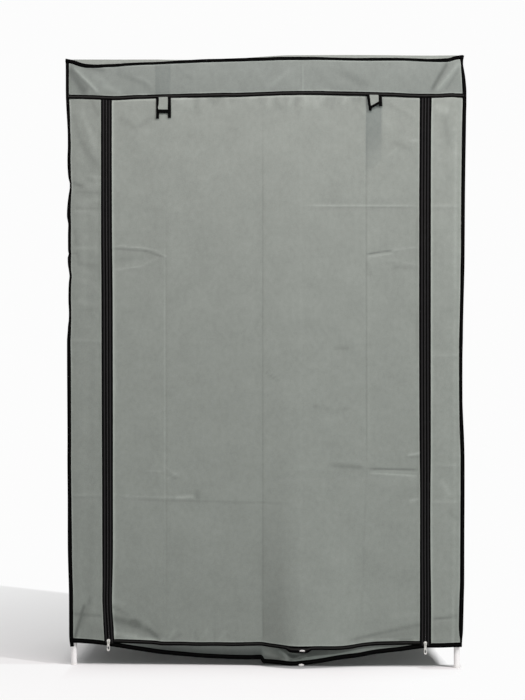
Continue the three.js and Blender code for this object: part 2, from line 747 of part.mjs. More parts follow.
// Hem of the cover: round all four sides, and along the sill's sagging edge at the front
function hemBinding() {
  const footEdge = zipOuter + fitGap;
  const besideZip = [zipX + footEdge, zipX + footEdge + zipFootEase];
  const stilePlaces = (side) => [
    ...besideZip.map((x) => doorOffset + side * x), (side * (zipX + coverX)) / 2, side * coverX,
  ];
  const front = [...stilePlaces(-1).reverse(), ...sillPlaces, ...stilePlaces(1)];
  const underDoor = (x) => Math.abs(x - doorOffset) < zipX;
  const ring = front.map((x) => vec(x, underDoor(x) ? sillY(x) : -coverY, hemLine(x)));
  for (const v of even(-0.9, 0.9, 6)) ring.push(vec(coverX, v * coverY, hemHeight));
  for (const u of even(1, -1, 8)) ring.push(vec(u * coverX, coverY, hemHeight));
  for (const v of even(0.9, -0.9, 6)) ring.push(vec(-coverX, v * coverY, hemHeight));
  return tape({ path: ring, across: upright, width: bindingHeight, thick: bindingThick, closed: true });
}
add('hem_binding', hemBinding(), 'binding');

function doorHemBinding() {
  return tape({
    path: doorPlaces.map((x) => vec(x, doorHemY(x), doorHemLine(x))),
    across: upright, width: bindingHeight, thick: bindingThick,
  });
}
add('door_hem_binding', doorHemBinding(), 'binding');

// Zips: a flat tape with half of the coil along its inner edge, on the stile and on the door

function zipTape(direction) {
  const low = sliderRestHeight - sliderLength / 2;
  const high = pelmetSeam - pelmetSeamRise - onBinding;
  const near = coilGap / 2;
  const outline = new THREE.Shape();
  outline.moveTo(near, -coilThick / 2);
  outline.lineTo(near + coilWidth, -coilThick / 2);
  outline.lineTo(near + coilWidth, -tapeThick / 2);
  outline.lineTo(near + tapeWidth, -tapeThick / 2);
  outline.lineTo(near + tapeWidth, tapeThick / 2);
  outline.lineTo(near + coilWidth, tapeThick / 2);
  outline.lineTo(near + coilWidth, coilThick / 2);
  outline.lineTo(near, coilThick / 2);
  outline.closePath();
  const geometry = new THREE.ExtrudeGeometry(outline, { depth: high - low, bevelEnabled: false });
  geometry.translate(0, 0, low);
  return direction > 0 ? geometry : geometry.rotateZ(Math.PI);
}

// Slider: two plates joined by a web between the halves of the coil, and a bail over the front plate
function plateShape() {
  const half = sliderWidth / 2;
  const neck = sliderNeck / 2;
  const end = sliderLength / 2;
  const outline = new THREE.Shape();
  outline.moveTo(-neck, -end);
  outline.lineTo(neck, -end);
  outline.lineTo(half, 0);
  outline.lineTo(half, end - plateThick);
  outline.lineTo(neck, end);
  outline.lineTo(-neck, end);
  outline.lineTo(-half, end - plateThick);
  outline.lineTo(-half, 0);
  outline.closePath();
  return outline;
}

const plateInner = coilThick / 2 + plateGap;
const plateOuter = plateInner + plateThick;
const bailTop = plateOuter + bailHeight;

function zipSlider() {
  const plate = (y) => new THREE.ExtrudeGeometry(plateShape(), { depth: plateThick, bevelEnabled: false })
    .rotateX(Math.PI / 2).translate(0, y, 0);
  const box = (x, y, z, cx, cy, cz) => new THREE.BoxGeometry(x, y, z).translate(cx, cy, cz);
  const legY = (plateInner + bailTop) / 2;
  const legZ = (bailLength - bailBeam) / 2;
  return toGeometry(united([
    plate(-plateInner), plate(plateOuter),
    box(webThick, 2 * plateOuter - plateThick, webLength, 0, 0, sliderLength / 4),
    box(bailWidth, bailTop - plateInner, bailBeam, 0, -legY, legZ),
    box(bailWidth, bailTop - plateInner, bailBeam, 0, -legY, -legZ),
    box(bailWidth, bailBeam, bailLength, 0, -bailTop + bailBeam / 2, 0),
  ]));
}

// Pull: its upper bar turns in the bail, which passes through its window
function zipPull() {
  const half = pullWidth / 2;
  const waist = pullWaist / 2;
  const barHalf = pullBar / 2;
  const windowEnd = barHalf + pullWindowLength;
  const shoulder = windowEnd + barHalf;
  const waistPlace = shoulder + pullWaist / 2;
  const outline = new THREE.Shape();
  outline.moveTo(-half + barHalf, barHalf);
  outline.lineTo(half - barHalf, barHalf);
  outline.lineTo(half, 0);
  outline.lineTo(half, -shoulder);
  outline.lineTo(waist, -waistPlace);
  outline.lineTo(half, -waistPlace - half);
  outline.absarc(0, -pullLength + half, half, 0, -Math.PI, true);
  outline.lineTo(-half, -waistPlace - half);
  outline.lineTo(-waist, -waistPlace);
  outline.lineTo(-half, -shoulder);
  outline.lineTo(-half, 0);
  outline.closePath();
  const opening = (width, top, bottom) => {
    const path = new THREE.Path();
    path.moveTo(-width / 2, top);
    path.lineTo(-width / 2, bottom);
    path.lineTo(width / 2, bottom);
    path.lineTo(width / 2, top);
    path.closePath();
    return path;
  };
  const slotTop = -pullLength + half + pullSlotHeight / 2;
  outline.holes.push(opening(pullWindowWidth, -barHalf, -windowEnd));
  outline.holes.push(opening(pullSlotLength, slotTop, slotTop - pullSlotHeight));
  return new THREE.ExtrudeGeometry(outline, { depth: pullThick, bevelEnabled: false, curveSegments: 10 })
    .translate(0, 0, -pullThick / 2).rotateX(Math.PI / 2);
}

const pullPivotY = -coverY - plateOuter - pullBar;
const pullPivotZ = sliderRestHeight - bailLength / 2 + bailBeam + pullBar / 2 + pullPlay;
for (const [name, side] of [['left', -1], ['right', 1]]) {
  const line = vec(doorOffset + side * zipX, -coverY, 0);
  add(`zip_tape_${name}`, zipTape(side), 'zip', line);
  add(`door_zip_tape_${name}`, zipTape(-side), 'zip', line);
  add(`zip_slider_${name}`, zipSlider(), 'slider', line.clone().setZ(sliderRestHeight));
  add(`zip_pull_${name}`, zipPull(), 'slider', vec(line.x, pullPivotY, pullPivotZ));
}

// Ties: short tabs in front of the door and long straps behind it, all sewn into the pelmet seam

// Flat tie that hangs from z = 0: cloth between two bound edges, each with its own length
function tieShape(web, leftLength, rightLength, slant) {
  const half = tieWidth / 2;
  const outline = new THREE.Shape();
  outline.moveTo(-half, 0);
  outline.lineTo(-half, -leftLength);
  outline.lineTo(-half + tieEdge, -leftLength);
  outline.lineTo(-half + tieEdge, -web);
  outline.lineTo(half - tieEdge, -web + slant);
  outline.lineTo(half - tieEdge, -rightLength);
  outline.lineTo(half, -rightLength);
  outline.lineTo(half, 0);
  outline.closePath();
  return outline;
}

const flatTie = (outline) => new THREE.ExtrudeGeometry(outline, { depth: tieThick, bevelEnabled: false })
  .translate(0, 0, -tieThick / 2).rotateX(Math.PI / 2);

const tieTopAt = (x) =>
  Math.min(...[-1, 0, 1].map((s) => pelmetLine(x + (s * tieWidth) / 2))) - onBinding;
const outerTieY = -coverY - outerTieGap;
const innerTieY = -coverY + innerTieGap;
const longTab = outerTieWeb + outerTieTail;
add('outer_tie_left', flatTie(tieShape(outerTieWeb, longTab, longTab, 0)), 'shade',
  vec(leftTieX, outerTieY, tieTopAt(leftTieX)));
const shortTab = tieShape(outerTieWeb - tieEdge, outerTieWeb, outerTieWeb - shortTieCut, shortTieCut);
add('outer_tie_right', flatTie(shortTab), 'shade', vec(rightTieX, outerTieY, tieTopAt(rightTieX)));

function innerTie() {
  const half = tieWidth / 2;
  const outline = new THREE.Shape();
  outline.moveTo(-half, 0);
  outline.lineTo(-half, -innerTieLength);
  outline.lineTo(half, -innerTieLength + innerTieSlant);
  outline.lineTo(half, 0);
  outline.closePath();
  return flatTie(outline);
}
add('inner_tie_right', innerTie(), 'shade', vec(rightTieX, innerTieY, tieTopAt(rightTieX)));

// The left strap is thrown up behind the pelmet and over the front top rail
function raisedTie() {
  const bend = tubeRadius + fitGap + tieThick / 2;
  const turn = 12;
  const seam = tieTopAt(leftTieX);
  const path = [vec(leftTieX, innerTieY, seam)];
  for (const a of even(Math.PI, 0, turn)) {
    path.push(vec(leftTieX, -postY + bend * Math.cos(a), topRailHeight + bend * Math.sin(a)));
  }
  const used = topRailHeight - seam + Math.PI * bend;
  path.push(vec(leftTieX, -postY + bend, topRailHeight - (innerTieLength - used)));
  return tape({ path, across: () => vec(1, 0, 0), width: tieWidth, thick: tieThick });
}
add('inner_tie_left', raisedTie(), 'shade');

// Press fastener: a socket on the door's hem and a stud on the sill's binding below it
function snapHalf(stud) {
  const profile = stud
    ? [[0, 0], [snapRadius, 0], [snapRadius, snapThick / 2], [snapStudRadius, snapThick / 2],
      [snapStudRadius, snapThick], [0, snapThick]]
    : [[0, 0], [snapRadius, 0], [snapRadius, snapThick / 2], [snapStudRadius, snapThick], [0, snapThick]];
  return turnedSolid(profile, sleeveSides).rotateX(Math.PI / 2);
}
const snapFace = (y) => y - bindingThick / 2 - snapGap;
add('snap_socket', snapHalf(false), 'snap', vec(snapX, snapFace(doorHemY(snapX)), doorHemLine(snapX)));
add('snap_stud', snapHalf(true), 'snap', vec(snapX, snapFace(sillY(snapX)), hemLine(snapX)));

// The row's origin is the middle of the footprint, on the floor
const bounds = new THREE.Box3().setFromObject(wardrobe);
wardrobe.position.y = -(bounds.min.y + bounds.max.y) / 2;

export default wardrobe;
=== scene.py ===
import json
import math

import bpy
import numpy as np
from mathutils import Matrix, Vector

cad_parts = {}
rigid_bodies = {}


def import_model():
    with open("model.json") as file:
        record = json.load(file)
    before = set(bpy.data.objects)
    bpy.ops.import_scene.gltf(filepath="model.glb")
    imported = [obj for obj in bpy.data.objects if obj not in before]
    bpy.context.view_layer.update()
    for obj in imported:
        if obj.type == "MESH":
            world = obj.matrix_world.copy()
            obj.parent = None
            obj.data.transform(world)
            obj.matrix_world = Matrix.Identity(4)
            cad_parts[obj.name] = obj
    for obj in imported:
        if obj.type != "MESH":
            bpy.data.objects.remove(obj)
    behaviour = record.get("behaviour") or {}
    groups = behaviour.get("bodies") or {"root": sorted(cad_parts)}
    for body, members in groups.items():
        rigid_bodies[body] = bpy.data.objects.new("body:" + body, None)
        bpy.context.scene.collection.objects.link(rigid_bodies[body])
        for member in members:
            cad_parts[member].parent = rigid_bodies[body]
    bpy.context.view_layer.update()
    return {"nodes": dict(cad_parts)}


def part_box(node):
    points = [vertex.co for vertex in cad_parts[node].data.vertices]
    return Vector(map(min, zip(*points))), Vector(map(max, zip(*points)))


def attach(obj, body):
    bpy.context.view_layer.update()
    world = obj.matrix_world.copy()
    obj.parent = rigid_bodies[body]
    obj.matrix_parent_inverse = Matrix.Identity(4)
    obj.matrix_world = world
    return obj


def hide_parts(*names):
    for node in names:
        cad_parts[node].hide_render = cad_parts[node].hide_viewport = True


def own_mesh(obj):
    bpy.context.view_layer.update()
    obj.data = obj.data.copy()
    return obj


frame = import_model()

# Looks of a portable fabric wardrobe: a grey non-woven cover with black bound seams and two long zips on a
# frame of white tubes. Metres, X right, the front faces -Y, Z up.

mm = 0.001
turn = 2 * math.pi
sides = {"left": -1, "right": 1}


def lowOf(node):
    return np.array(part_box(node)[0])


def highOf(node):
    return np.array(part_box(node)[1])


def middleOf(node):
    return (lowOf(node) + highOf(node)) / 2


# Camera: the settings are those of a 525 x 700 picture
view = {
    "picture": (525, 700),
    "place": (0.2825, -6.2, 1.0219),
    "turnLeft": 0.0478,
    "lookDown": 0.0299,
    "roll": 0.0005,
    "focalPixels": 2272.6,
    "sensorHeight": 24,
}


def makeCamera(s):
    data = bpy.data.cameras.new("camera")
    data.sensor_fit = "VERTICAL"
    data.sensor_height = s["sensorHeight"]
    data.lens = s["focalPixels"] / s["picture"][1] * s["sensorHeight"]
    data.clip_end = 60
    camera = bpy.data.objects.new("camera", data)
    camera.location = s["place"]
    camera.rotation_euler = (math.pi / 2 - s["lookDown"], s["roll"], s["turnLeft"])
    bpy.context.scene.collection.objects.link(camera)
    bpy.context.scene.camera = camera


makeCamera(view)
print("camera made")

# Main sizes of the cover, from the frame
cover = {
    "front": middleOf("pelmet_binding")[1],
    "half": highOf("pelmet_binding")[0] + 1.2 * mm,
    "back": highOf("hem_binding")[1] - 1.2 * mm,
    "seam": highOf("roof_panel")[2] + 0.6 * mm,
    "hem": 64 * mm,
    "clothThick": 0.9 * mm,
    "zipEdge": 0.8 * mm,  # edge of the painted highlight, from the zips and from the middle of a binding
    "bindingEdge": 5.4 * mm,
    "seamTuck": 2.5 * mm,  # how far the front cloth goes under a corner seam's tape
}
doorHalf = (highOf("door_panel") - lowOf("door_panel"))[0] / 2
tube = {"radius": (highOf("top_rail_front")[2] - lowOf("top_rail_front")[2]) / 2, "wall": 0.8 * mm,
        "round": 0.35 * mm, "play": 0.3 * mm, "spigotLong": 60 * mm, "capLip": 0.9 * mm, "capSoft": 1.6 * mm,
        "capHigh": 5 * mm}


# Where the camera's ray through a picture point meets a plane of constant y: the ray is the view direction
# plus the picture offsets over the focal length along the camera's right and up directions
def onPlane(points, y=cover["front"]):
    p = np.array(points, float)
    side = (p[:, 0] - view["picture"][0] / 2) / view["focalPixels"]
    rise = (view["picture"][1] / 2 - p[:, 1]) / view["focalPixels"]
    t, d = view["turnLeft"], view["lookDown"]
    right = np.array([math.cos(t), math.sin(t), 0])
    ahead = np.array([-math.sin(t) * math.cos(d), math.cos(t) * math.cos(d), -math.sin(d)])
    up = np.cross(right, ahead)
    ray = ahead + side[:, None] * right + rise[:, None] * up
    reach = (y - view["place"][1]) / ray[:, 1]
    return np.array(view["place"]) + reach[:, None] * ray


# Height of a smooth line through a few places at x: between two places the height follows a cubic. Its end
# slopes are those between the neighbours, and flat at a peak, so that the line never overshoots a place.
def smoothLine(places, x):
    at, value = np.array(places, float)[:, 0], np.array(places, float)[:, 1]
    rise = np.diff(value) / np.diff(at)
    limit = 3 * np.minimum(np.abs(rise[1:]), np.abs(rise[:-1])) * (rise[1:] * rise[:-1] > 0)
    slope = np.concatenate([rise[:1], np.clip((rise[1:] + rise[:-1]) / 2, -limit, limit), rise[-1:]])
    k = np.clip(np.searchsorted(at, x) - 1, 0, len(at) - 2)
    gap = at[k + 1] - at[k]
    t = np.clip((x - at[k]) / gap, 0, 1)
    return (value[k] * (1 + 2 * t) * (1 - t) ** 2 + value[k + 1] * t * t * (3 - 2 * t)
            + gap * t * (1 - t) * (slope[k] * (1 - t) - slope[k + 1] * t))


def photoLine(points, x, y=cover["front"]):
    spots = onPlane(points, y)
    return smoothLine(spots[:, [0, 2]], x)


def ease(t):
    t = np.clip(t, 0, 1)
    return t * t * (3 - 2 * t)


# 1 between low and high, easing to 0 over `soft` at each end
def between(x, low, high, soft):
    return ease((x - low) / soft + 0.5) * ease((high - x) / soft + 0.5)


def bump(x, middle, reach):
    return np.exp(-(((x - middle) / reach) ** 2))


# Places from low to high whose spacing is coarse, and fine within reach of the given spots
def stations(low, high, spots, coarse, fine, reach):
    t = np.linspace(low, high, 4000)
    density = np.full(t.shape, 1 / coarse)
    for spot in spots:
        density = np.maximum(density, (1 / fine) * bump(t, spot, reach))
    total = np.concatenate([[0], np.cumsum((density[1:] + density[:-1]) / 2 * np.diff(t))])
    return np.interp(np.linspace(0, total[-1], int(total[-1]) + 2), total, t)


# Soft wandering: a sum of plane waves of seeded direction and phase, whose strength falls with their number
def wander(a, b, length, seed, waves=14):
    draw = np.random.default_rng(seed)
    total = np.zeros(np.broadcast(a, b).shape)
    for _ in range(waves):
        angle, phase = draw.uniform(0, turn, 2)
        size = length * draw.uniform(0.5, 1.6)
        total += np.sin(turn * (a * math.cos(angle) + b * math.sin(angle)) / size + phase)
    return total / math.sqrt(waves)


# Points from their three coordinates, each an array or one number
def track(x, y, z):
    return np.stack(np.broadcast_arrays(x, y, z), -1)


# Distance along a path, at each of its points
def runAlong(path):
    return np.concatenate([[0], np.cumsum(np.linalg.norm(np.diff(path, axis=0), axis=1))])


# Meshes from arrays

def makeMesh(name, points, quads, uv=None, extra=(), sharp=50):
    mesh = bpy.data.meshes.new(name)
    mesh.vertices.add(len(points))
    mesh.vertices.foreach_set("co", np.asarray(points, np.float32).ravel())
    quads = np.asarray(quads, np.int32)
    sizes = [4] * len(quads) + [len(f) for f in extra]
    loops = np.concatenate([quads.ravel(), *[np.asarray(f, np.int32) for f in extra]]).astype(np.int32)
    mesh.loops.add(len(loops))
    mesh.loops.foreach_set("vertex_index", loops)
    mesh.polygons.add(len(sizes))
    mesh.polygons.foreach_set("loop_start", np.concatenate([[0], np.cumsum(sizes)[:-1]]).astype(np.int32))
    mesh.polygons.foreach_set("use_smooth", np.ones(len(sizes), bool))
    if uv is not None:
        layer = mesh.uv_layers.new(name="flat")
        layer.data.foreach_set("uv", np.asarray(uv, np.float32)[loops].ravel())
    mesh.update(calc_edges=True)
    mesh.validate()
    mesh.set_sharp_from_angle(angle=math.radians(sharp))
    made = bpy.data.objects.new(name, mesh)
    bpy.context.scene.collection.objects.link(made)
    return made


def setAttribute(piece, name, values):
    layer = piece.data.attributes.new(name, "FLOAT", "POINT")
    layer.data.foreach_set("value", np.asarray(values, np.float32).ravel())


# Cloth: a grid of the sheet's middle, with its two faces half a thickness off along the grid's own normal,
# joined round the rim. Each mask is a named number at every grid point.
def clothPiece(name, middle, thick=cover["clothThick"], masks=None, closed=False):
    rows, columns = middle.shape[:2]
    if closed:
        along = np.roll(middle, -1, 1) - np.roll(middle, 1, 1)
    else:
        along = np.gradient(middle, axis=1)
    up = np.gradient(middle, axis=0)
    normal = np.cross(along, up)
    normal /= np.linalg.norm(normal, axis=2, keepdims=True)
    points = np.concatenate([(middle + normal * thick / 2).reshape(-1, 3),
                             (middle - normal * thick / 2).reshape(-1, 3)])
    index = np.arange(rows * columns).reshape(rows, columns)
    right = np.roll(index, -1, 1) if closed else index[:, 1:]
    left = index if closed else index[:, :-1]
    a, b, c, d = left[:-1], right[:-1], right[1:], left[1:]
    layer = rows * columns
    front = np.stack([a, b, c, d], -1).reshape(-1, 4)
    if closed:
        rims = [np.append(index[0], index[0, 0]), np.append(index[-1], index[-1, 0])[::-1]]
    else:
        rims = [np.concatenate([index[0], index[1:, -1], index[-1, -2::-1], index[-2::-1, 0]])]
    rim = np.concatenate([np.stack([r[1:], r[:-1], r[:-1] + layer, r[1:] + layer], -1) for r in rims])
    quads = np.concatenate([front, front[:, ::-1] + layer, rim])
    stepU = np.linalg.norm(np.diff(middle, axis=1), axis=2).mean(0)
    stepV = np.linalg.norm(np.diff(middle, axis=0), axis=2).mean(1)
    u = np.concatenate([[0], np.cumsum(stepU)])
    v = np.concatenate([[0], np.cumsum(stepV)])
    flat = np.stack(np.meshgrid(u, v), -1).reshape(-1, 2)
    piece = makeMesh(name, points, quads, np.concatenate([flat, flat]))
    for mask, values in (masks or {}).items():
        setAttribute(piece, mask, np.concatenate([values.ravel(), values.ravel()]))
    return piece


# A profile of (width, thickness) places carried along a path: `side` gives the width's direction at each
# point, and the thickness lies square to it and to the path
def sweptPiece(name, path, side, profile, closed=False, scale=None, sharp=50):
    path, profile = np.asarray(path, float), np.asarray(profile, float)
    side = np.broadcast_to(np.asarray(side, float), path.shape)
    if closed:
        along = np.roll(path, -1, 0) - np.roll(path, 1, 0)
    else:
        along = np.gradient(path, axis=0)
    along = along / np.linalg.norm(along, axis=1, keepdims=True)
    wide = side - along * (side * along).sum(1, keepdims=True)
    wide = wide / np.linalg.norm(wide, axis=1, keepdims=True)
    deep = np.cross(wide, along)
    size = np.ones((len(path), 2)) if scale is None else np.broadcast_to(scale, (2, len(path))).T
    rings = path[:, None] + (wide[:, None] * profile[None, :, :1] * size[:, None, :1]
                             + deep[:, None] * profile[None, :, 1:] * size[:, None, 1:])
    count, ring = len(path), len(profile)
    index = np.arange(count * ring).reshape(count, ring)
    next_ = np.roll(index, -1, 0) if closed else index[1:]
    here = index if closed else index[:-1]
    quads = np.stack([here, np.roll(here, -1, 1), np.roll(next_, -1, 1), next_], -1).reshape(-1, 4)
    caps = [] if closed else [list(index[0][::-1]), list(index[-1])]
    around = runAlong(np.vstack([profile, profile[:1]]))[:-1]
    flat = np.stack(np.meshgrid(around, runAlong(path)), -1).reshape(-1, 2)
    piece = makeMesh(name, rings.reshape(-1, 3), quads, flat, caps, sharp)
    setAttribute(piece, "across", np.tile(profile[:, 0] / np.abs(profile[:, 0]).max(), count))
    fixFacing(piece)
    return piece


# Turns a closed mesh whose signed volume is negative
def fixFacing(piece):
    mesh = piece.data
    mesh.calc_loop_triangles()
    co = np.empty(len(mesh.vertices) * 3, np.float32)
    mesh.vertices.foreach_get("co", co)
    tri = np.empty(len(mesh.loop_triangles) * 3, np.int32)
    mesh.loop_triangles.foreach_get("vertices", tri)
    corner = co.reshape(-1, 3)[tri.reshape(-1, 3)].astype(float)
    if (corner[:, 0] * np.cross(corner[:, 1], corner[:, 2])).sum() < 0:
        mesh.flip_normals()


# A profile of (radius, height) places turned about an axis through `place`, and leaned about X by `tilt`
def turnedPiece(name, profile, place, axis="z", sides=40, sharp=40, tilt=0.0):
    profile = np.asarray(profile, float)
    angle = np.arange(sides) * turn / sides
    r, h = profile[:, 0][:, None], profile[:, 1][:, None]
    ring = np.stack([r * np.cos(angle), r * np.sin(angle), np.broadcast_to(h, (len(profile), sides))], -1)
    order = {"z": (0, 1, 2), "x": (2, 0, 1), "y": (1, 2, 0)}[axis]
    points = ring.reshape(-1, 3)[:, order]
    if tilt:
        c, s = math.cos(tilt), math.sin(tilt)
        points = points @ np.array([[1, 0, 0], [0, c, -s], [0, s, c]]).T
    points = points + np.asarray(place, float)
    index = np.arange(len(profile) * sides).reshape(len(profile), sides)
    closedRing = profile[0, 0] > 1e-9
    here, there = (index, np.roll(index, -1, 0)) if closedRing else (index[:-1], index[1:])
    quads = np.stack([here, np.roll(here, -1, 1), np.roll(there, -1, 1), there], -1).reshape(-1, 4)
    piece = makeMesh(name, points, quads, sharp=sharp)
    if not closedRing:
        piece.data = weldedMesh(piece.data)
        piece.data.set_sharp_from_angle(angle=math.radians(sharp))
    fixFacing(piece)
    return piece


# Merges doubled points, such as the ring at a pole, and drops the faces without area
def weldedMesh(mesh, near=1e-6):
    import bmesh
    work = bmesh.new()
    work.from_mesh(mesh)
    bmesh.ops.remove_doubles(work, verts=work.verts, dist=near)
    bmesh.ops.dissolve_degenerate(work, edges=work.edges, dist=near)
    bmesh.ops.recalc_face_normals(work, faces=work.faces)
    work.to_mesh(mesh)
    work.free()
    return mesh


# Finishes: a wire is one shader value, with Python's arithmetic for the Math nodes

class Wire:
    def __init__(self, finish, socket):
        self.finish, self.socket = finish, socket

    def math(self, operation, first, second=0.0):
        return self.finish.node("Math", {"operation": operation}, {0: first, 1: second})

    def __add__(self, other):
        return self.math("ADD", self, other)

    __radd__ = __add__

    def __mul__(self, other):
        return self.math("MULTIPLY", self, other)

    def __sub__(self, other):
        return self.math("SUBTRACT", self, other)

    def __rsub__(self, other):
        return self.math("SUBTRACT", other, self)

    def __truediv__(self, other):
        return self.math("DIVIDE", self, other)

    def sine(self):
        return self.math("SINE", self)

    def above(self, floor):
        return self.math("MAXIMUM", self, floor)

    def below(self, ceiling):
        return self.math("MINIMUM", self, ceiling)

    def size(self):
        return self.math("ABSOLUTE", self)


class Finish:
    def __init__(self, name, owner=None):
        self.material = owner or bpy.data.materials.new(name)
        self.material.use_nodes = True
        self.tree = self.material.node_tree
        self.tree.nodes.clear()

    # One node: its settings are set first, then the values or wires of its sockets
    def node(self, kind, settings=None, sockets=None, out=0):
        made = self.tree.nodes.new("ShaderNode" + kind)
        for key, value in (settings or {}).items():
            if key == "stops":
                ramp = made.color_ramp.elements
                while len(ramp) < len(value):
                    ramp.new(0.5)
                for stop, (place, colour) in zip(ramp, value):
                    stop.position, stop.color = place, colour
            else:
                setattr(made, key, value)
        for key, value in (sockets or {}).items():
            if isinstance(value, Wire):
                self.tree.links.new(value.socket, made.inputs[key])
            else:
                made.inputs[key].default_value = value
        return Wire(self, made.outputs[out] if made.outputs else None)

    def flat(self):
        return self.node("UVMap", {"uv_map": "flat"})

    def split(self, vector):
        made = self.node("SeparateXYZ", sockets={0: vector})
        return [Wire(self, made.socket.node.outputs[k]) for k in range(3)]

    def noise(self, vector, scale, detail=2.0, rough=0.5, distortion=0.0):
        return self.node("TexNoise", sockets={"Vector": vector, "Scale": scale, "Detail": detail,
                                              "Roughness": rough, "Distortion": distortion})

    # 1 for the camera's rays, also through a mirror or glass
    def looking(self):
        camera = self.node("LightPath", out="Is Camera Ray")
        outputs = camera.socket.node.outputs
        others = [Wire(self, outputs[name]) for name in ("Is Glossy Ray", "Is Transmission Ray")]
        return (camera + others[0] + others[1]).below(1.0)

    def mask(self, name):
        return self.node("Attribute", {"attribute_name": name}, out="Fac")

    def scaled(self, colour, factor):
        start = colour if isinstance(colour, Wire) else colour[:3]
        return self.node("VectorMath", {"operation": "SCALE"}, {0: start, "Scale": factor})

    def stretched(self, vector, x, y, z):
        return self.node("VectorMath", {"operation": "MULTIPLY"}, {0: vector, 1: (x, y, z)})

    def mix(self, factor, first, second):
        return self.node("Mix", {"data_type": "RGBA"}, {0: factor, 6: first, 7: second}, out=2)

    def surface(self, sockets, height=None, depth=0.0003, strength=1.0):
        if height is not None:
            sockets = {**sockets, "Normal": self.node("Bump", sockets={
                "Strength": strength, "Distance": depth, "Height": height})}
        shader = self.node("BsdfPrincipled", sockets=sockets)
        self.node("OutputMaterial", sockets={"Surface": shader})
        return self.material


def rgba(r, g, b):
    return (r, g, b, 1.0)


# Non-woven cloth: bonded dots in offset rows, loose upright fibres and cloudy thickness. The masks paint
# light and shade into its colour: painted shade and highlight along its folds, painted shade where a strap
# lies behind it or where the cloth lies in shade, and a painted highlight along each seam.
clothLook = {
    "colour": (0.2065, 0.2300, 0.2090),
    # the colour that the painted shade draws the cloth towards
    "strapColour": (0.2005, 0.2290, 0.2120),
    "cloud": 0.24,
    "mottle": 0.2,
    "grain": 0.5,
    "fibre": 0.16,
    # strengths of the painted fold shading, the painted shade and the painted seam highlight
    "crease": 0.27,
    "behind": 0.2,
    "edge": 0.3,
    "dotPitch": 1.25 * mm,
    "roughness": 0.9,
    # stretch of the pattern, then scale, detail and roughness of its noise
    "fibreNoise": ((1100.0, 130.0, 1.0), (1.0, 2.0, 0.6)),
    "mottleNoise": ((1.0, 0.7, 1.0), (90.0, 2.0, 0.5)),
    "cloudNoise": (14.0, 5.0, 0.6),
    "grainNoise": (420.0, 2.0, 0.7),
}


def clothFinish(name, s, gain=1.0, masks=True):
    f = Finish(name)
    flat = f.flat()
    across, up, _ = f.split(flat)
    wave = turn / s["dotPitch"]
    dots = ((across * wave).sine() * (up * wave).sine()).above(0.0)
    fibres, mottle = [f.noise(f.stretched(flat, *stretch), *noise)
                      for stretch, noise in (s["fibreNoise"], s["mottleNoise"])]
    cloud, grain = f.noise(flat, *s["cloudNoise"]), f.noise(flat, *s["grainNoise"])
    tone = 1.0 + (cloud - 0.5) * s["cloud"] + (grain - 0.5) * s["grain"] + (fibres - 0.5) * s["fibre"]
    tone = tone + (mottle - 0.5) * s["mottle"]
    colour = rgba(*[c * gain for c in s["colour"]])
    if masks:
        # painted fold shading, painted seam highlight, and painted shade that also tints the colour
        behind = f.mask("behind")
        tone = tone * (1.0 + f.mask("crease") * s["crease"]) * (1.0 + f.mask("edge") * s["edge"])
        tone = tone * (1.0 - behind * s["behind"])
        colour = f.mix(behind.above(0.0).below(1.0), colour, rgba(*[c * gain for c in s["strapColour"]]))
    rough = s["roughness"] + (grain - 0.5) * 0.15
    height = dots * 0.5 + fibres * 0.6 + grain * 0.6
    return f.surface({"Base Color": f.scaled(colour, tone), "Roughness": rough, "Specular IOR Level": 0.12},
                     height, 0.00014, 0.7)


# Black woven tape: fine ribs along it and threads across, with a painted highlight in the middle of its width
# where it lies flat, so that the rolled edges stay darkest
bindingLook = {"colour": (0.0008, 0.0008, 0.0008), "pale": (0.024, 0.024, 0.023), "ribPitch": 0.9 * mm,
               "roughness": 0.75}


def bindingFinish(name, s):
    f = Finish(name)
    across, along, _ = f.split(f.flat())
    ribs = (along * (turn / s["ribPitch"])).sine() * 0.5 + 0.5
    threads = (across * (turn / (s["ribPitch"] * 0.8))).sine() * 0.5 + 0.5
    wear = f.noise(f.flat(), 60.0, 3.0, 0.6)
    # painted highlight across the middle of the tape's width
    middle = (1.0 - (f.mask("across") - 0.1).size() * 2.4).above(0.0)
    pale = (middle * 1.1 + ribs * threads * 0.12 + (wear - 0.5) * 0.4).above(0.0).below(1.0)
    colour = f.mix(pale, rgba(*s["colour"]), rgba(*s["pale"]))
    rough = s["roughness"] + (wear - 0.5) * 0.3
    return f.surface({"Base Color": colour, "Roughness": rough, "Specular IOR Level": 0.015}, ribs * threads,
                     0.00015, 0.8)


# Zip tape: a slanting weave, with a painted highlight on the two raised ribs
zipLook = {"colour": (0.001, 0.001, 0.001), "pale": (0.024, 0.024, 0.0245), "pitch": 1.1 * mm,
           "roughness": 0.7}


def zipFinish(name, s):
    f = Finish(name)
    across, along, _ = f.split(f.flat())
    slant = ((across + along) * (turn / s["pitch"])).sine() * 0.5 + 0.5
    wear = f.noise(f.flat(), 90.0, 3.0, 0.6)
    # painted highlight on the raised ribs
    pale = (f.mask("rib") * 0.9 + slant * 0.08 + (wear - 0.5) * 0.25).above(0.0).below(1.0)
    colour = f.mix(pale, rgba(*s["colour"]), rgba(*s["pale"]))
    return f.surface({"Base Color": colour, "Roughness": s["roughness"] + (wear - 0.5) * 0.25,
                      "Specular IOR Level": 0.015}, slant, 0.00012, 0.7)


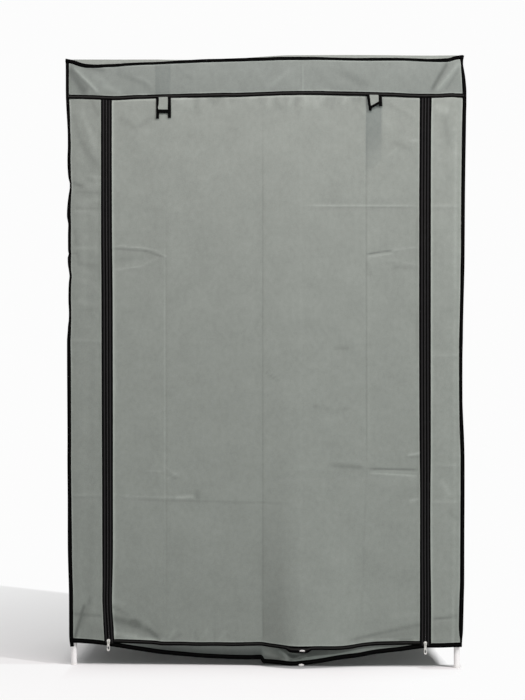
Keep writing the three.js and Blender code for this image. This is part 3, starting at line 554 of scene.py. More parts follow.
# Plain finishes: a fine noise for the relief, and a coarser one that takes the colour from dark to pale and
# roughens it. A noise is given as its scale, detail, roughness and distortion.
plainLooks = {
    "coil": {"name": "nylon coil", "relief": (400.0, 2.0, 0.5), "tone": (400.0, 2.0, 0.5),
             "dark": (0.014, 0.014, 0.014), "pale": (0.03, 0.03, 0.03), "rough": (0.45, 0.15),
             "bump": (0.00005, 0.5), "more": {"Specular IOR Level": 0.1}},
    "steel": {"name": "white coated steel", "relief": (700.0, 2.0, 0.4), "tone": (18.0, 4.0, 0.6),
              "dark": (0.76, 0.76, 0.75), "pale": (0.84, 0.84, 0.83), "rough": (0.3, 0.12),
              "bump": (0.00006, 0.4), "more": {"Coat Weight": 0.3, "Coat Roughness": 0.15}},
    "moulding": {"name": "white moulding", "relief": (1400.0, 3.0, 0.6), "tone": (40.0, 5.0, 0.65),
                 "dark": (0.74, 0.74, 0.72), "pale": (0.85, 0.85, 0.83), "rough": (0.42, 0.16),
                 "bump": (0.00008, 0.5), "more": {}},
    "slider": {"name": "bright cast zinc", "relief": (900.0, 4.0, 0.5, 0.4), "tone": (220.0, 3.0, 0.6),
               "dark": (0.5, 0.49, 0.46), "pale": (0.74, 0.73, 0.7), "rough": (0.2, 0.2),
               "bump": (0.00004, 0.5), "more": {"Metallic": 1.0}},
    "snap": {"name": "white press fastener", "relief": (500.0, 3.0, 0.5), "tone": (500.0, 3.0, 0.5),
             "dark": (0.72, 0.72, 0.70), "pale": (0.82, 0.82, 0.80), "rough": (0.3, 0.15),
             "bump": (0.00004, 0.4), "more": {}},
}


def plainFinish(s):
    f = Finish(s["name"])
    place = f.node("TexCoord", out="Object")
    relief, tone = f.noise(place, *s["relief"]), f.noise(place, *s["tone"])
    colour = f.mix(tone, rgba(*s["dark"]), rgba(*s["pale"]))
    rough, spread = s["rough"]
    sockets = {"Base Color": colour, "Roughness": rough + tone * spread, **s["more"]}
    return f.surface(sockets, relief, *s["bump"])


finishes = {
    "cloth": clothFinish("grey non-woven cloth", clothLook),
    "web": clothFinish("grey non-woven tie", clothLook, 1.02, masks=False),
    # the inner straps: the cloth 7% darker, as painted shade
    "strap": clothFinish("grey non-woven strap, painted shade", clothLook, 0.93, masks=False),
    "binding": bindingFinish("black seam tape", bindingLook),
    # the edge tape's painted highlight is much weaker
    "edging": bindingFinish("black edge tape", {**bindingLook, "pale": (0.0035, 0.0035, 0.0035)}),
    "zip": zipFinish("black zip tape", zipLook),
    **{name: plainFinish(look) for name, look in plainLooks.items()},
}


# Gives a piece its finish, its body and the nodes that it stands for
def dress(piece, finish, nodes=(), body="root"):
    piece.data.materials.clear()
    piece.data.materials.append(finishes[finish])
    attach(piece, body)
    if nodes:
        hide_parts(*nodes)
    return piece


# One sheet of the cover from its grid, with its three masks of painted light and shade
def coverSheet(name, node, X, Y, Z, crease, behind=0, edge=0):
    masks = {"crease": crease, "behind": behind + 0 * X, "edge": edge + 0 * X}
    return dress(clothPiece(name, track(X, Y, Z), masks=masks), "cloth", [node])


print("finishes made")

# Seam lines of the front, through places measured in the picture

topSeamPhoto = [
    (66, 60.4), (70, 61.3), (73, 62), (76, 63), (80, 64.5), (85, 65.6), (90, 66), (96, 66.2), (107, 65.6),
    (115, 65.3), (125, 64.5), (135, 63.9), (145, 63.5), (160, 63), (175, 62.1), (190, 61.4), (205, 60.7),
    (220, 60.4), (250, 59.5), (265, 59.1), (282, 58.5), (310, 58.4), (340, 59), (360, 59.4), (400, 59.3),
    (415, 59.8), (436, 60.5), (446, 60.3), (451, 59.6), (455, 58.3), (462, 57.1),
]
# its width in picture points
topSeamWide = [(66, 3.7), (78, 4.2), (95, 3.5), (120, 2.9), (160, 2.6), (190, 3.1), (260, 3.4), (300, 3.3),
               (340, 2.5), (380, 3), (400, 2.6), (430, 2.9), (447, 3.8), (462, 4)]
pelmetPhoto = [
    (69, 96.6), (80, 96.9), (90, 97.15), (107, 97.8), (115, 98), (125, 97.6), (135, 97.2), (145, 97),
    (160, 96.4), (175, 96), (185, 95.8), (200, 95.4), (215, 95), (230, 94.9), (245, 94.6), (260, 94.2),
    (275, 93.6), (290, 93.2), (320, 93), (340, 93.4), (360, 93.9), (388, 94.6), (400, 95.05), (415, 95.8),
    (436, 96), (445, 95.6), (452, 95.3), (457, 95.6), (463, 95.8),
]
doorHemPhoto = [
    (112, 641), (118, 641), (135, 641.4), (145, 642), (155, 642.5), (162, 643.3), (180, 643.5), (200, 644),
    (225, 644), (250, 643.9), (261.5, 643.8), (266, 644.4), (272, 645.4), (280, 646.5), (290, 647.8),
    (300, 648.4), (320, 648.2), (340, 648), (350, 646.9), (360, 645.1), (370, 644), (380, 643.5), (400, 643),
    (421, 642.9),
]
sillHemPhoto = [
    (109, 643.8), (118, 645), (130, 647), (145, 649.3), (155, 650.8), (165, 652), (175, 653), (190, 654.3),
    (200, 655.1), (220, 656.2), (235, 656.8), (250, 657.1), (261.2, 657), (263.6, 661), (272, 661.6),
    (280, 662.4), (290, 663.6), (300, 663.2), (318, 661), (340, 657.3), (360, 654.7), (374, 652), (400, 649),
    (415, 646.9), (425, 645.9),
]
stileHemPhoto = {"left": [(70, 640.3), (79, 640.6), (96, 641.8), (104, 642.7), (112, 643.4)],
                 "right": [(421, 645.6), (431, 645.5), (442, 645.4), (450, 645.1), (463, 644.8)]}
crestPhoto = [
    (66, 60), (77, 59.6), (120, 59.6), (155, 59.6), (185, 60), (215, 59.8), (240, 58.4), (262, 56.9),
    (290, 55.4), (340, 55.2), (373, 55.3), (432, 55.8), (456, 55.7), (462, 57),
]

# Left and right edge of the two front corner seams at picture heights
seamPhoto = {
    "left": [
        (57, 64.5, 68.1), (64, 65.8, 69), (76, 65.9, 69.1), (90, 65.9, 69.1), (104, 66.3, 69.5),
        (115, 66.9, 70), (130, 67.7, 70.4), (145, 67.9, 70.9), (160, 67.5, 70.6), (170, 67.8, 70.9),
        (178, 68.6, 71), (184, 69.9, 71.6), (189, 69.7, 71.6), (195, 68.7, 71.2), (205, 67.5, 70.9),
        (215, 67, 70.8), (225, 68.3, 71.1), (235, 68, 71), (250, 68.1, 71), (254, 68.7, 71.2),
        (258, 67.7, 71), (264, 67.9, 71), (270, 68.8, 71.1), (276, 69.5, 71.7), (283, 68.8, 71.2),
        (300, 68.4, 71),
        (312, 68.9, 71.2), (319, 68.8, 71.2), (326, 68, 71), (332, 67.6, 70.9), (341, 67, 70.5),
        (360, 67, 70.8), (400, 67.2, 71), (440, 67.4, 71.1), (460, 67.3, 71),
        (500, 67.6, 71.3), (540, 67.6, 71.8), (560, 67.9, 72),
        (580, 68.5, 72.5), (600, 68.9, 73), (634, 69, 73), (640, 69.3, 73.3), (647, 70.3, 73.8),
    ],
    "right": [
        (55.5, 460, 464), (60, 460.1, 463.3), (64, 460.8, 463.2), (70, 461.1, 464.1), (76, 461.6, 465.1),
        (84, 462.1, 466), (92, 462.6, 466.5), (104, 462.7, 466.5), (115, 462.4, 466.2), (130, 462.1, 466),
        (160, 461.7, 465.5), (200, 461.1, 465), (240, 461, 464.7), (270, 460.6, 464.4), (300, 460, 463.6),
        (320, 459.6, 463.1), (340, 459.1, 462.8), (360, 459, 462.4), (400, 459, 462.4), (420, 459.4, 463.1),
        (440, 460, 464), (460, 460.5, 464.4), (500, 460.4, 464.4), (540, 460.1, 464.2), (580, 459.9, 464.1),
        (600, 459.2, 463.6), (625, 458.7, 463), (633, 459, 462.7), (638, 459.7, 462.2), (646, 460.2, 461.6),
    ],
}

# Left and right edge of the black that the cloth leaves open over each zip
zipPhoto = {
    "left": [(90, 101, 112.1), (160, 101, 112), (230, 101, 112.2), (300, 101.4, 112.8), (400, 101.6, 113),
             (500, 102, 113), (550, 102.1, 113), (580, 102.3, 112.5), (600, 102.2, 112), (610, 102.6, 112.2),
             (620, 103, 112.9), (630, 103.4, 113.7), (640, 104, 114), (650, 104.2, 114.2)],
    "right": [(90, 419.8, 432), (120, 419.6, 431.4), (160, 419.4, 431.1), (200, 419.1, 431),
              (400, 419.1, 430.8), (450, 419.4, 430.8), (500, 419.8, 430.4), (560, 419.7, 430.5),
              (600, 419.7, 431), (640, 419.5, 431), (650, 419.4, 431)],
}


def topSeam(x):
    return photoLine(topSeamPhoto, x)


def pelmetLine(x):
    return photoLine(pelmetPhoto, x)


# x at a height, of a line whose places are (picture height, picture x)
def uprightLine(places, z):
    spots = onPlane([(px, py) for py, px in places])
    return smoothLine(spots[::-1][:, [2, 0]], z)


def twoEdges(places, z):
    return (uprightLine([(py, first) for py, first, _ in places], z),
            uprightLine([(py, second) for py, _, second in places], z))


def seamEdges(side, z):
    return twoEdges(seamPhoto[side], z)


def zipEdges(side, z):
    return twoEdges(zipPhoto[side], z)


def zipMiddle(side, z):
    return sum(zipEdges(side, z)) / 2


# The foot of the door and of the sill swings forward right of the middle crease: shares of the door's half
# width against shares of the swing
swing = {
    "door": 40 * mm,
    "sill": 31 * mm,
    "sillSetBack": 3.4 * mm,
    "under": 15 * mm,
    "underShares": [(-1, 0), (-0.9, 0.1), (-0.6, 0.8), (-0.2, 1), (-0.06, 0.8), (0.05, 0), (1, 0)],
    "shares": [(-1, 0), (-0.04, 0), (-0.015, 0.06), (0.06, 0.42), (0.14, 0.84), (0.22, 1),
               (0.4, 0.68), (0.68, 0.04), (0.8, 0), (1, 0)],
}
doorMiddle = (zipMiddle("left", 0.4) + zipMiddle("right", 0.4)) / 2


def swingShare(x):
    return smoothLine(swing["shares"], (x - doorMiddle) / doorHalf)


# The door hangs a little slack, most in the middle
slack = {"depth": 13 * mm,
         "across": [(-1, 0), (-0.9, 0.06), (-0.55, 0.42), (-0.1, 0.86), (0.12, 1), (0.3, 0.82), (0.66, 0.34),
                    (0.9, 0.05), (1, 0)],
         "up": [(0, 0.12), (0.12, 0.4), (0.3, 0.8), (0.55, 1), (0.8, 0.72), (0.93, 0.25), (1, 0)]}


def doorFace(x, v):
    u = (x - doorMiddle) / doorHalf
    foot = np.clip(1 - v / door["swingShare"], 0, 1) ** 2
    hang = slack["depth"] * smoothLine(slack["across"], u) * smoothLine(slack["up"], v)
    return cover["front"] - swing["door"] * swingShare(x) * foot - hang


def doorHemY(x):
    return doorFace(x, 0 * x)


def sillY(x):
    under = swing["under"] * smoothLine(swing["underShares"], (x - doorMiddle) / doorHalf)
    return cover["front"] + swing["sillSetBack"] - swing["sill"] * swingShare(x) + under


# A line in the picture keeps its place where the cloth swings forward, so its height is worked out on the
# plane of its own y
def swungLine(points, x, yAt):
    flat = onPlane(points)
    spots = np.array([onPlane([p], depth)[0, [0, 2]] for p, depth in zip(points, yAt(flat[:, 0]))])
    return smoothLine(spots, x)


def doorHemLine(x):
    return swungLine(doorHemPhoto, x, doorHemY)


def sillHemLine(x):
    return swungLine(sillHemPhoto, x, sillY)


def stileHemLine(side, x):
    return photoLine(stileHemPhoto[side], x)


# Relief of the front cloth: each fold runs between two picture points, stands `high` millimetres forward and
# reaches `wide` millimetres each side. A ridge is a bell across the line and a bend is a tent. A painted line
# has no height: there `high` is how much paler or darker it paints the colour, as painted highlight or
# painted shade. Ends reach `past` the points, and narrow ridges also get painted highlight, or painted shade
# if sunken.
foldShape = {"past": 0.05, "fade": 0.22, "tentTop": 0.05, "narrow": 6.5, "ridgeShading": 0.4, "ridgeShadingFrom": 0.5,
             "most": 1.6}


def foldRelief(x, z, folds, y=cover["front"]):
    relief = np.zeros(x.shape)
    crease = np.zeros(x.shape)
    for kind, x0, y0, x1, y1, high, wide in [(kind, *row) for kind, rows in folds.items() for row in rows]:
        a, b = onPlane([(x0, y0), (x1, y1)], y)[:, [0, 2]]
        length = np.linalg.norm(b - a)
        along = (b - a) / length
        s = ((x - a[0]) * along[0] + (z - a[1]) * along[1]) / length
        d = ((x - a[0]) * along[1] - (z - a[1]) * along[0]) / (wide * mm)
        past, fade = foldShape["past"], foldShape["fade"]
        window = ease((s + past) / fade) * ease((1 + past - s) / fade)
        if kind == "ridge":
            relief += high * mm * window * np.exp(-d * d)
        elif kind == "bend":
            relief += high * mm * window * np.maximum(0, 1 - np.sqrt(d * d + foldShape["tentTop"] ** 2))
        else:
            # painted shade or highlight along the line
            crease += high * window * np.exp(-d * d)
        # painted highlight on a narrow raised ridge, painted shade in a narrow sunken one
        if wide < foldShape["narrow"] and kind == "ridge":
            share = foldShape["ridgeShading"] * np.sign(high) * min(1, abs(high) / foldShape["ridgeShadingFrom"])
            crease += share * window * np.exp(-(d * 1.5) ** 2)
    return relief, np.clip(crease, -foldShape["most"], foldShape["most"])


# Painted highlight along a seam: 1 at the seam, fading within a few millimetres
def seamHighlight(*distances):
    near = np.minimum.reduce([np.abs(d) for d in distances])
    return bump(near, 1.1 * mm, 1.5 * mm)


# Door

door = {
    "swingShare": 0.45,
    "cloud": 0.8 * mm,
    "clouds": ((1, 0.26, 3), (0.45, 0.09, 4), (0.12, 0.035, 5)),  # share, length and seed
    "hem": 1.9 * mm,  # doubled edge over the zip tape
    "tuck": 4.4 * mm,  # middle of the binding to the cloth's foot inside it
    "flatSide": 9 * mm,  # folds and waves die out towards the zips over this width
    "flatFoot": 0.008,  # and towards the foot and the top over these shares of the height
    "flatTop": 0.006,
    "hemWide": 6 * mm,
    "hemEnds": (0.004, 0.9962, 0.003),
    "gridAcross": (6.4 * mm, 1.7 * mm, 7 * mm),  # coarse and fine spacing, and the reach of a fine spot
    "gridUp": (0.0046, 0.0013, 0.006),
    # left and right edge and foot of the inner strap's painted shade, and how much it fades
    "strap": (366, 381.5, 174, 160, 0.72),
    "folds": {
        "ridge": [
            (262.8, 104, 262.8, 640, -0.3, 2.6), (256, 120, 256, 600, -0.5, 16),
            (164.6, 190, 165.0, 640, 0.2, 2.4), (366, 112, 366.4, 480, -0.2, 2.6),
            (305, 205.8, 419, 206, 0.5, 3.2), (112, 245.6, 140, 247.6, 0.7, 3.4),
            (136, 246.8, 158, 251.2, 0.8, 3.4), (154, 250.4, 167, 257.5, 0.8, 3.4),
            (112, 270.3, 144, 266, 0.6, 4.0), (140, 266.6, 160, 257, 0.5, 4.0),
            (366, 256, 396, 250.4, 0.6, 4.0), (388, 251, 419, 247.2, 0.7, 4.0),
            (376, 258, 419, 265, 0.5, 4.0), (112, 494, 130, 496.4, 0.4, 4.5),
            (125, 496.4, 196, 498, 0.5, 3.6), (144, 470.5, 163, 471.5, 0.5, 3.6),
            (164, 481.5, 178, 471.5, 0.7, 3.6), (165, 466.5, 180, 477.5, 0.5, 3.6),
            (366, 470, 419, 473, 1.0, 5.0), (112, 607, 140, 617, -1.2, 15), (136, 614, 158, 627, -1.0, 14),
            (150, 622, 165, 641, -1.0, 8), (166.5, 641, 176, 628, 1.2, 6.0), (170, 641, 182, 634, -0.7, 6.0),
            (194, 630, 198, 641, -0.9, 5.0), (199.5, 641, 208, 628, 0.8, 5.5),
            (213, 630, 216, 641, -0.6, 5.0), (218, 641, 226, 630, 0.5, 6.0),
            (262.8, 610, 263, 641, -0.5, 3.0), (112, 590, 128, 588, 0.6, 9), (330, 637, 420, 618, -0.6, 10),
            (118, 118, 160, 160, 0.9, 30), (124, 165, 176, 140, -0.8, 22), (176, 150, 215, 210, 0.7, 30),
            (300, 150, 330, 200, 0.6, 30), (120, 330, 160, 300, 0.6, 26), (180, 350, 240, 330, 0.5, 30),
            (300, 340, 350, 380, 0.5, 34), (383, 160, 398, 148, 0.6, 6), (381, 118, 392, 134, 0.8, 8),
            (352, 130, 362, 150, 0.5, 9), (172, 112, 182, 128, 0.8, 10), (150, 108, 138, 128, -0.6, 10),
        ],
        "bend": [
            (330, 198, 419, 197, 1.0, 26), (116, 260, 160, 260, -0.9, 20), (366, 486, 419, 486, 1.4, 34),
            (262, 478, 419, 477, -0.8, 20),
        ],
        # painted shade and highlight along folds, and a broad painted shade low on the door
        "worn": [
            (262.8, 104, 262.8, 640, -0.25, 2.6), (164.4, 256, 164.8, 520, 0.3, 2.4),
            (166.6, 190, 166.4, 640, -0.3, 2.6), (366.4, 112, 366.6, 480, -0.35, 2.4),
            (368.6, 180, 368.8, 480, 0.25, 3.0), (366.4, 470, 361.4, 625, -0.25, 3.0),
            (301, 104, 301, 640, 0.12, 4.5), (305, 205.6, 419, 205.8, 0.35, 2.6),
            (305, 207.8, 419, 207.8, -0.35, 2.4), (112, 245.4, 150, 248.6, 0.4, 2.6),
            (112, 248.6, 150, 251.2, -0.7, 2.8), (144, 250.4, 164, 257, -0.7, 2.8),
            (112, 261, 134, 259, -0.35, 8.0), (366.5, 254.3, 394, 250.2, -1.5, 2.6),
            (366.5, 257.2, 394, 253.2, 0.9, 3.0), (392, 267, 419, 268.6, -0.4, 5.0),
            (366, 262, 372, 278, -0.4, 5.0), (176, 497, 195, 496, 0.9, 4.0), (197, 489, 197, 499, -0.5, 7.0),
            (126, 499.6, 292, 502.6, -0.45, 2.4), (168, 474.5, 178, 479.5, -0.5, 3.6),
            (366.5, 468.6, 419, 470, -1.4, 3.2), (366.5, 472.6, 419, 476, 1.1, 3.0),
            (328, 464.4, 366, 468, -0.7, 6.0), (332, 460, 366, 462, 0.25, 5.0),
            (407, 455.4, 421, 452.6, 1.0, 3.4), (404, 458, 421, 456.4, -0.6, 3.4),
            (409, 501, 419, 499, 0.8, 4.0), (265, 371, 281, 382.6, -0.6, 2.8),
            (266, 369.4, 282, 381, 0.35, 2.8), (312, 405, 334, 410.6, -0.4, 4.0),
            (334, 410.6, 350, 408.6, -0.4, 4.0), (333, 347.6, 350, 347.8, -0.6, 5.0),
            (118, 117, 138, 129, -0.5, 8.0), (136, 129, 156, 116, -0.4, 8.0),
            (404, 138, 419, 141.6, 0.7, 3.4), (392, 142, 412, 150, -0.5, 6.0),
            (382, 100, 416, 121, -0.35, 5.0), (384, 98, 419, 117, 0.3, 5.0), (108, 604, 130, 616, -0.8, 5.0),
            (112, 600, 126, 605, 0.4, 6.0), (104, 617, 142, 625, -1.2, 12), (130, 620, 161, 638, -1.1, 10),
            (146, 627, 161, 641, -0.8, 4.0), (108, 632, 140, 636, 0.8, 6.0), (120, 636, 158, 640, 1.0, 4.4),
            (345, 640.6, 430, 622.6, -0.85, 5.4), (352, 646, 430, 630, -0.4, 13),
            (80, 600, 330, 606, -0.2, 130), (390, 617, 422, 613, 0.3, 9.0),
            (399, 640.4, 414, 639.6, -1.0, 3.0), (364, 639.6, 396, 639.2, 0.8, 3.0),
        ],
    },
    "puckers": {"top": 98, "from": 178, "to": 362, "step": 5.5, "high": 1.2, "long": 22},
}


# Short slanting gathers that hang from the pelmet seam, at seeded places
def gatherFolds(s, top):
    draw = np.random.default_rng(11)
    folds = {"ridge": [], "worn": []}
    x = s["from"]
    while x < s["to"]:
        lean = draw.uniform(-10, 4)
        long = s["long"] * draw.uniform(0.35, 1.1)
        high, wide = draw.choice([-1, 1]) * draw.uniform(0.3, 1), draw.uniform(4, 9)
        folds["ridge"].append((x, top, x + lean, top + long, s["high"] * high, wide + 2.6))
        # a line of painted shade or highlight along each gather
        folds["worn"].append((x, top - 2, x + lean * 0.6, top + long * 0.6, 0.5 * high, wide))
        x += s["step"] * draw.uniform(0.6, 1.5)
    return folds


# The folds that cross the front, for the spacing of the grid
foldColumns = [onPlane([(px, 300)])[0, 0] for px in (165, 262.5, 301, 365.6)]
foldRows = [onPlane([(262, py)])[0, 2] for py in (206.6, 249, 256, 267, 454, 468, 475, 499, 621, 635)]
doorFoot, doorTop = 66 * mm, 1.512
frontRows = [(z - doorFoot) / (doorTop - doorFoot) for z in foldRows]


# Painted shade of a strap behind the cloth, from its left and right edge in the picture and its slanting
# foot.
# It is weaker by `fade` near the foot, and stronger along both edges.
shadeOf = {"soft": 2.2 * mm, "footSoft": 4 * mm, "rim": 2.4 * mm, "rimGain": 0.25, "fadeOver": 0.11}


def paintedStrapShade(x, z, left, right, footLeft, footRight, fade):
    a, b = onPlane([(left, footLeft), (right, footRight)])[:, [0, 2]]
    foot = a[1] + (x - a[0]) / (b[0] - a[0]) * (b[1] - a[1])
    s = shadeOf
    inside = between(x, a[0], b[0], s["soft"]) * ease((z - foot) / s["footSoft"] + 0.5)
    rims = bump(x, a[0], s["rim"]) + bump(x, b[0], s["rim"])
    return inside * (1 - fade + fade * ease((z - foot) / s["fadeOver"])) * (1 + s["rimGain"] * rims)


# The cloth is doubled along the zips
def zipHem(fromZip, V):
    soft, end, softEnd = door["hemEnds"]
    return door["hem"] * ease(1 - fromZip / door["hemWide"]) * ease(V / soft) * ease((end - V) / softEnd)


def doorCloth():
    s = door
    reach = doorHalf
    u = stations(-reach, reach, [c - doorMiddle for c in foldColumns] + [-reach, reach], *s["gridAcross"])
    v = stations(0, 1, frontRows + [0, 1], *s["gridUp"])
    U, V = np.meshgrid(u / reach, v)
    height = doorFoot + (doorTop - doorFoot) * V
    left, right = zipEdges("left", height)[1], zipEdges("right", height)[0]
    X = (left + right) / 2 + U * (right - left) / 2
    low = doorHemLine(X[0])[None, :] + s["tuck"] + 0 * V
    high = pelmetLine(X)
    Z = low + (high - low) * V
    gathers = gatherFolds(s["puckers"], s["puckers"]["top"])
    allFolds = {kind: rows + gathers.get(kind, []) for kind, rows in s["folds"].items()}
    folds, crease = foldRelief(X, Z, allFolds)
    side = (1 - np.abs(U)) * doorHalf
    edge = ease(side / s["flatSide"]) * ease(V / s["flatFoot"]) * ease((1 - V) / s["flatTop"])
    cloud = s["cloud"] * sum(share * wander(X, Z, length, seed) for share, length, seed in s["clouds"])
    Y = doorFace(X, V) - (folds + cloud) * edge - zipHem(side, V)
    # painted shade of the inner strap, and painted highlight along the zips, above the hem and below the
    # pelmet
    behind = paintedStrapShade(X, Z, *s["strap"])
    rise = Z - (low - s["tuck"]) - cover["bindingEdge"]
    pale = seamHighlight(side - cover["zipEdge"], rise, high - cover["bindingEdge"] - Z)
    return coverSheet("door_cloth", "door_panel", X, Y, Z, crease, behind, pale)


doorPiece = doorCloth()
print("door made", len(doorPiece.data.polygons))

# Stiles

stile = {
    "folds": {
        "left": {
            "ridge": [
                (78, 100, 88, 190, -1.2, 14), (88, 190, 88, 330, -1.4, 15), (90, 330, 86, 620, -1.2, 15),
                (72, 176, 96, 196, 0.9, 9), (73, 196, 100, 206, -0.8, 9), (72, 211, 98, 213, 0.6, 6),
                (78, 160, 98, 186, 0.8, 9), (74, 226, 78, 262, -0.8, 6), (71, 253.6, 77, 254, -1.2, 3),
                (74, 276, 98, 282, -0.7, 8), (76, 262, 98, 250, 0.5, 9), (74, 240, 100, 247, 0.5, 7),
                (70, 341, 104, 340, 0.9, 4.6), (92, 312, 100, 318, 0.5, 6), (70, 495, 104, 495, 0.9, 5),
                (70, 470, 100, 476, 0.4, 8), (72, 613.6, 103, 615.8, -1.0, 4.2), (90, 596, 77, 637, -1.9, 6),
                (96, 596, 82, 637, 1.2, 8), (80, 560, 86, 606, -0.8, 10),
            ],
            # painted shade and highlight along folds, and a broad painted shade over the middle of the stile
            "worn": [
                (86, -60, 86, 780, -0.28, 90), (73, 112, 82, 146, -0.5, 8.0), (80, 140, 100, 170, -0.5, 8.0),
                (80, 106, 97, 150, 0.65, 8.0), (91, 98, 99, 118, -0.55, 7.0),
                (72, 182.6, 84, 187, -0.9, 5.0), (84, 175, 102, 178, 0.45, 6.0),
                (88, 184, 102, 184.6, 0.45, 6.0), (76, 192, 102, 192, -0.5, 5.0),
                (84, 200, 102, 200, 0.4, 6.0), (74, 208, 102, 208.6, -0.4, 5.0),
                (73, 248, 99, 247.4, 0.5, 5.0), (76, 263, 100, 266, -0.4, 6.0),
                (76, 300, 100, 306, 0.3, 8.0), (85, 602, 73.4, 641, -1.5, 4.4), (80, 628, 78, 639, 0.5, 3.0),
                (71, 614.4, 104, 616.6, -0.7, 3.2), (84, 629, 104, 630, -0.35, 20),
            ],
        },
        "right": {
            "ridge": [
                (450, 300, 449, 640, -0.6, 8), (430, 355, 460, 355, 0.8, 5), (430, 465, 459, 465, 0.8, 5),
                (430, 502, 459, 502, 0.8, 5), (430.6, 619.7, 456.6, 616.6, -1.1, 4.6),
                (430, 206.5, 460, 206, 1.0, 5), (438, 120, 446, 190, -1.2, 12), (455, 116, 461, 122, 1.0, 5),
                (452, 128, 460, 131, 0.9, 5), (440, 330, 452, 352, 0.5, 9),
            ],
            # painted shade and highlight along folds, and a broad painted light over the stile
            "worn": [
                (444, -60, 444, 780, 0.15, 90), (456, 120, 455, 300, 0.55, 4.5),
                (455, 290, 454, 600, 0.3, 5.0), (434, 106, 449, 112, 0.7, 10),
                (444, 112, 450, 150, -0.5, 9.0), (453, 588, 452.8, 645, 0.6, 3.4),
                (456.4, 610, 456, 645, -0.4, 2.6), (431, 619.6, 459, 616, -0.75, 3.6),
                (426, 629, 456, 629, -0.4, 20), (440, 478, 452, 498, 0.5, 6.0),
                (446, 508, 458, 520, -0.4, 6.0),
            ],
        },
    },
    "cloud": 0.7 * mm,
    "tuck": 4.6 * mm,
    "corner": 0.4 * mm,
    "belly": 1.2 * mm,
    "flatZip": 8 * mm,
    "flatSeam": 6 * mm,
    "gridAcross": (0.045, 0.018, 0.05),
    "gridUp": (0.0042, 0.0016, 0.006),
}


def stileCloth(side):
    s = stile
    sign = sides[side]
    u = stations(0, 1, [0, 1], *s["gridAcross"])
    v = stations(0, 1, frontRows + [0, 1], *s["gridUp"])
    U, V = np.meshgrid(u if sign > 0 else 1 - u[::-1], v)
    share = U if sign > 0 else 1 - U
    height = doorFoot - 3 * mm + (doorTop - doorFoot + 3 * mm) * V
    inner = zipEdges(side, height)[0 if sign < 0 else 1]
    edges = seamEdges(side, height)
    outer = (edges[1] if sign < 0 else edges[0]) + sign * cover["seamTuck"]
    X = inner + (outer - inner) * share
    low = stileHemLine(side, X) + s["tuck"]
    high = pelmetLine(X)
    Z = low + (high - low) * V
    folds, crease = foldRelief(X, Z, s["folds"][side])
    width = np.abs(outer - inner)
    fromZip, fromSeam = share * width, (1 - share) * width
    edge = (ease(fromZip / s["flatZip"]) * ease(fromSeam / s["flatSeam"])
            * ease(V / door["flatFoot"]) * ease((1 - V) / door["flatTop"]))
    cloud = s["cloud"] * (wander(X, Z, 0.16, 21 if sign < 0 else 22) + 0.2 * wander(X, Z, 0.04, 25))
    corner = s["corner"] * ease((share - 0.72) / 0.28) ** 1.5
    full = folds + cloud + s["belly"] * np.sin(np.pi * share)
    Y = cover["front"] - full * edge - zipHem(fromZip, V) + corner
    # painted highlight along the zip, the corner seam, above the hem and below the pelmet
    rise = Z - (low - s["tuck"]) - 5.6 * mm
    pale = seamHighlight(fromZip - cover["zipEdge"], fromSeam - cover["seamTuck"], rise,
                    high - cover["bindingEdge"] - Z)
    return coverSheet(f"stile_cloth_{side}", f"stile_{side}", X, Y, Z, crease, edge=pale)


stilePieces = [stileCloth("left"), stileCloth("right")]

# Pelmet

pelmet = {
    "folds": {
        "ridge": [
            (72, 66, 100, 93.6, 1.6, 6), (68, 66, 88, 94, -1.2, 12), (460, 62, 436, 92, 1.8, 7),
            (448.6, 61, 430, 93, -1.4, 8), (334, 66, 360, 88, -1.2, 13), (312, 64, 340, 90, 0.9, 13),
            (205, 66, 178, 90, 0.9, 14), (250, 64, 268, 90, 1.0, 12), (225, 66, 240, 90, -0.8, 14),
            (112, 70, 150, 92, -1.2, 16), (140, 78, 152, 84, 1.0, 7), (172, 68, 186, 78, 1.0, 8),
            (385, 64, 404, 92, -1.1, 13),
        ],
        # painted shade and highlight along the pelmet's folds
        "worn": [
            (72, 66, 100, 94, 1.0, 3.6), (67, 66, 87, 96, -1.5, 12), (82, 66.4, 106, 71, -0.8, 6.0),
            (102, 84, 124, 94, 0.55, 7.0), (92, 75, 112, 84, 0.4, 7.0), (460, 62, 436, 92, 1.0, 5.6),
            (448.6, 61, 430, 93, -1.3, 5.8), (459, 70, 445, 91, -0.5, 4.0), (303, 63, 303, 93, 0.6, 2.4),
            (301.6, 63, 301.6, 93, -0.3, 2.4), (266, 90, 292, 68, 0.4, 6.0), (174, 66, 192, 80, -0.5, 6.0),
            (198, 60, 216, 66, 0.4, 5.0), (134, 75, 154, 86, 0.4, 5.0), (112, 72, 146, 84, -0.3, 8.0),
            (333, 70, 372, 86, -0.35, 10),
        ],
    },
    "cloud": 0.7 * mm,
    "tuck": 4.6 * mm,
    "belly": 1.8 * mm,
    "flatSide": 9 * mm,
    "flatEnds": 0.07,
    "spots": (74, 90, 302, 432, 442, 452),  # picture places with fine folds, and their height there
    "spotRow": 78,
    "gridAcross": (4.6 * mm, 2.2 * mm, 25 * mm),
    "rows": 40,
    "low": 1.51,
    "high": 0.09,
    "middle": 1.55,
    # painted shade of the left strap behind the pelmet, its strength, and painted shade over the whole pelmet
    "strap": (155.4, 170.2, 120, 120, 0.0),
    "strapShade": 0.55,
    "shade": 0.65,
}


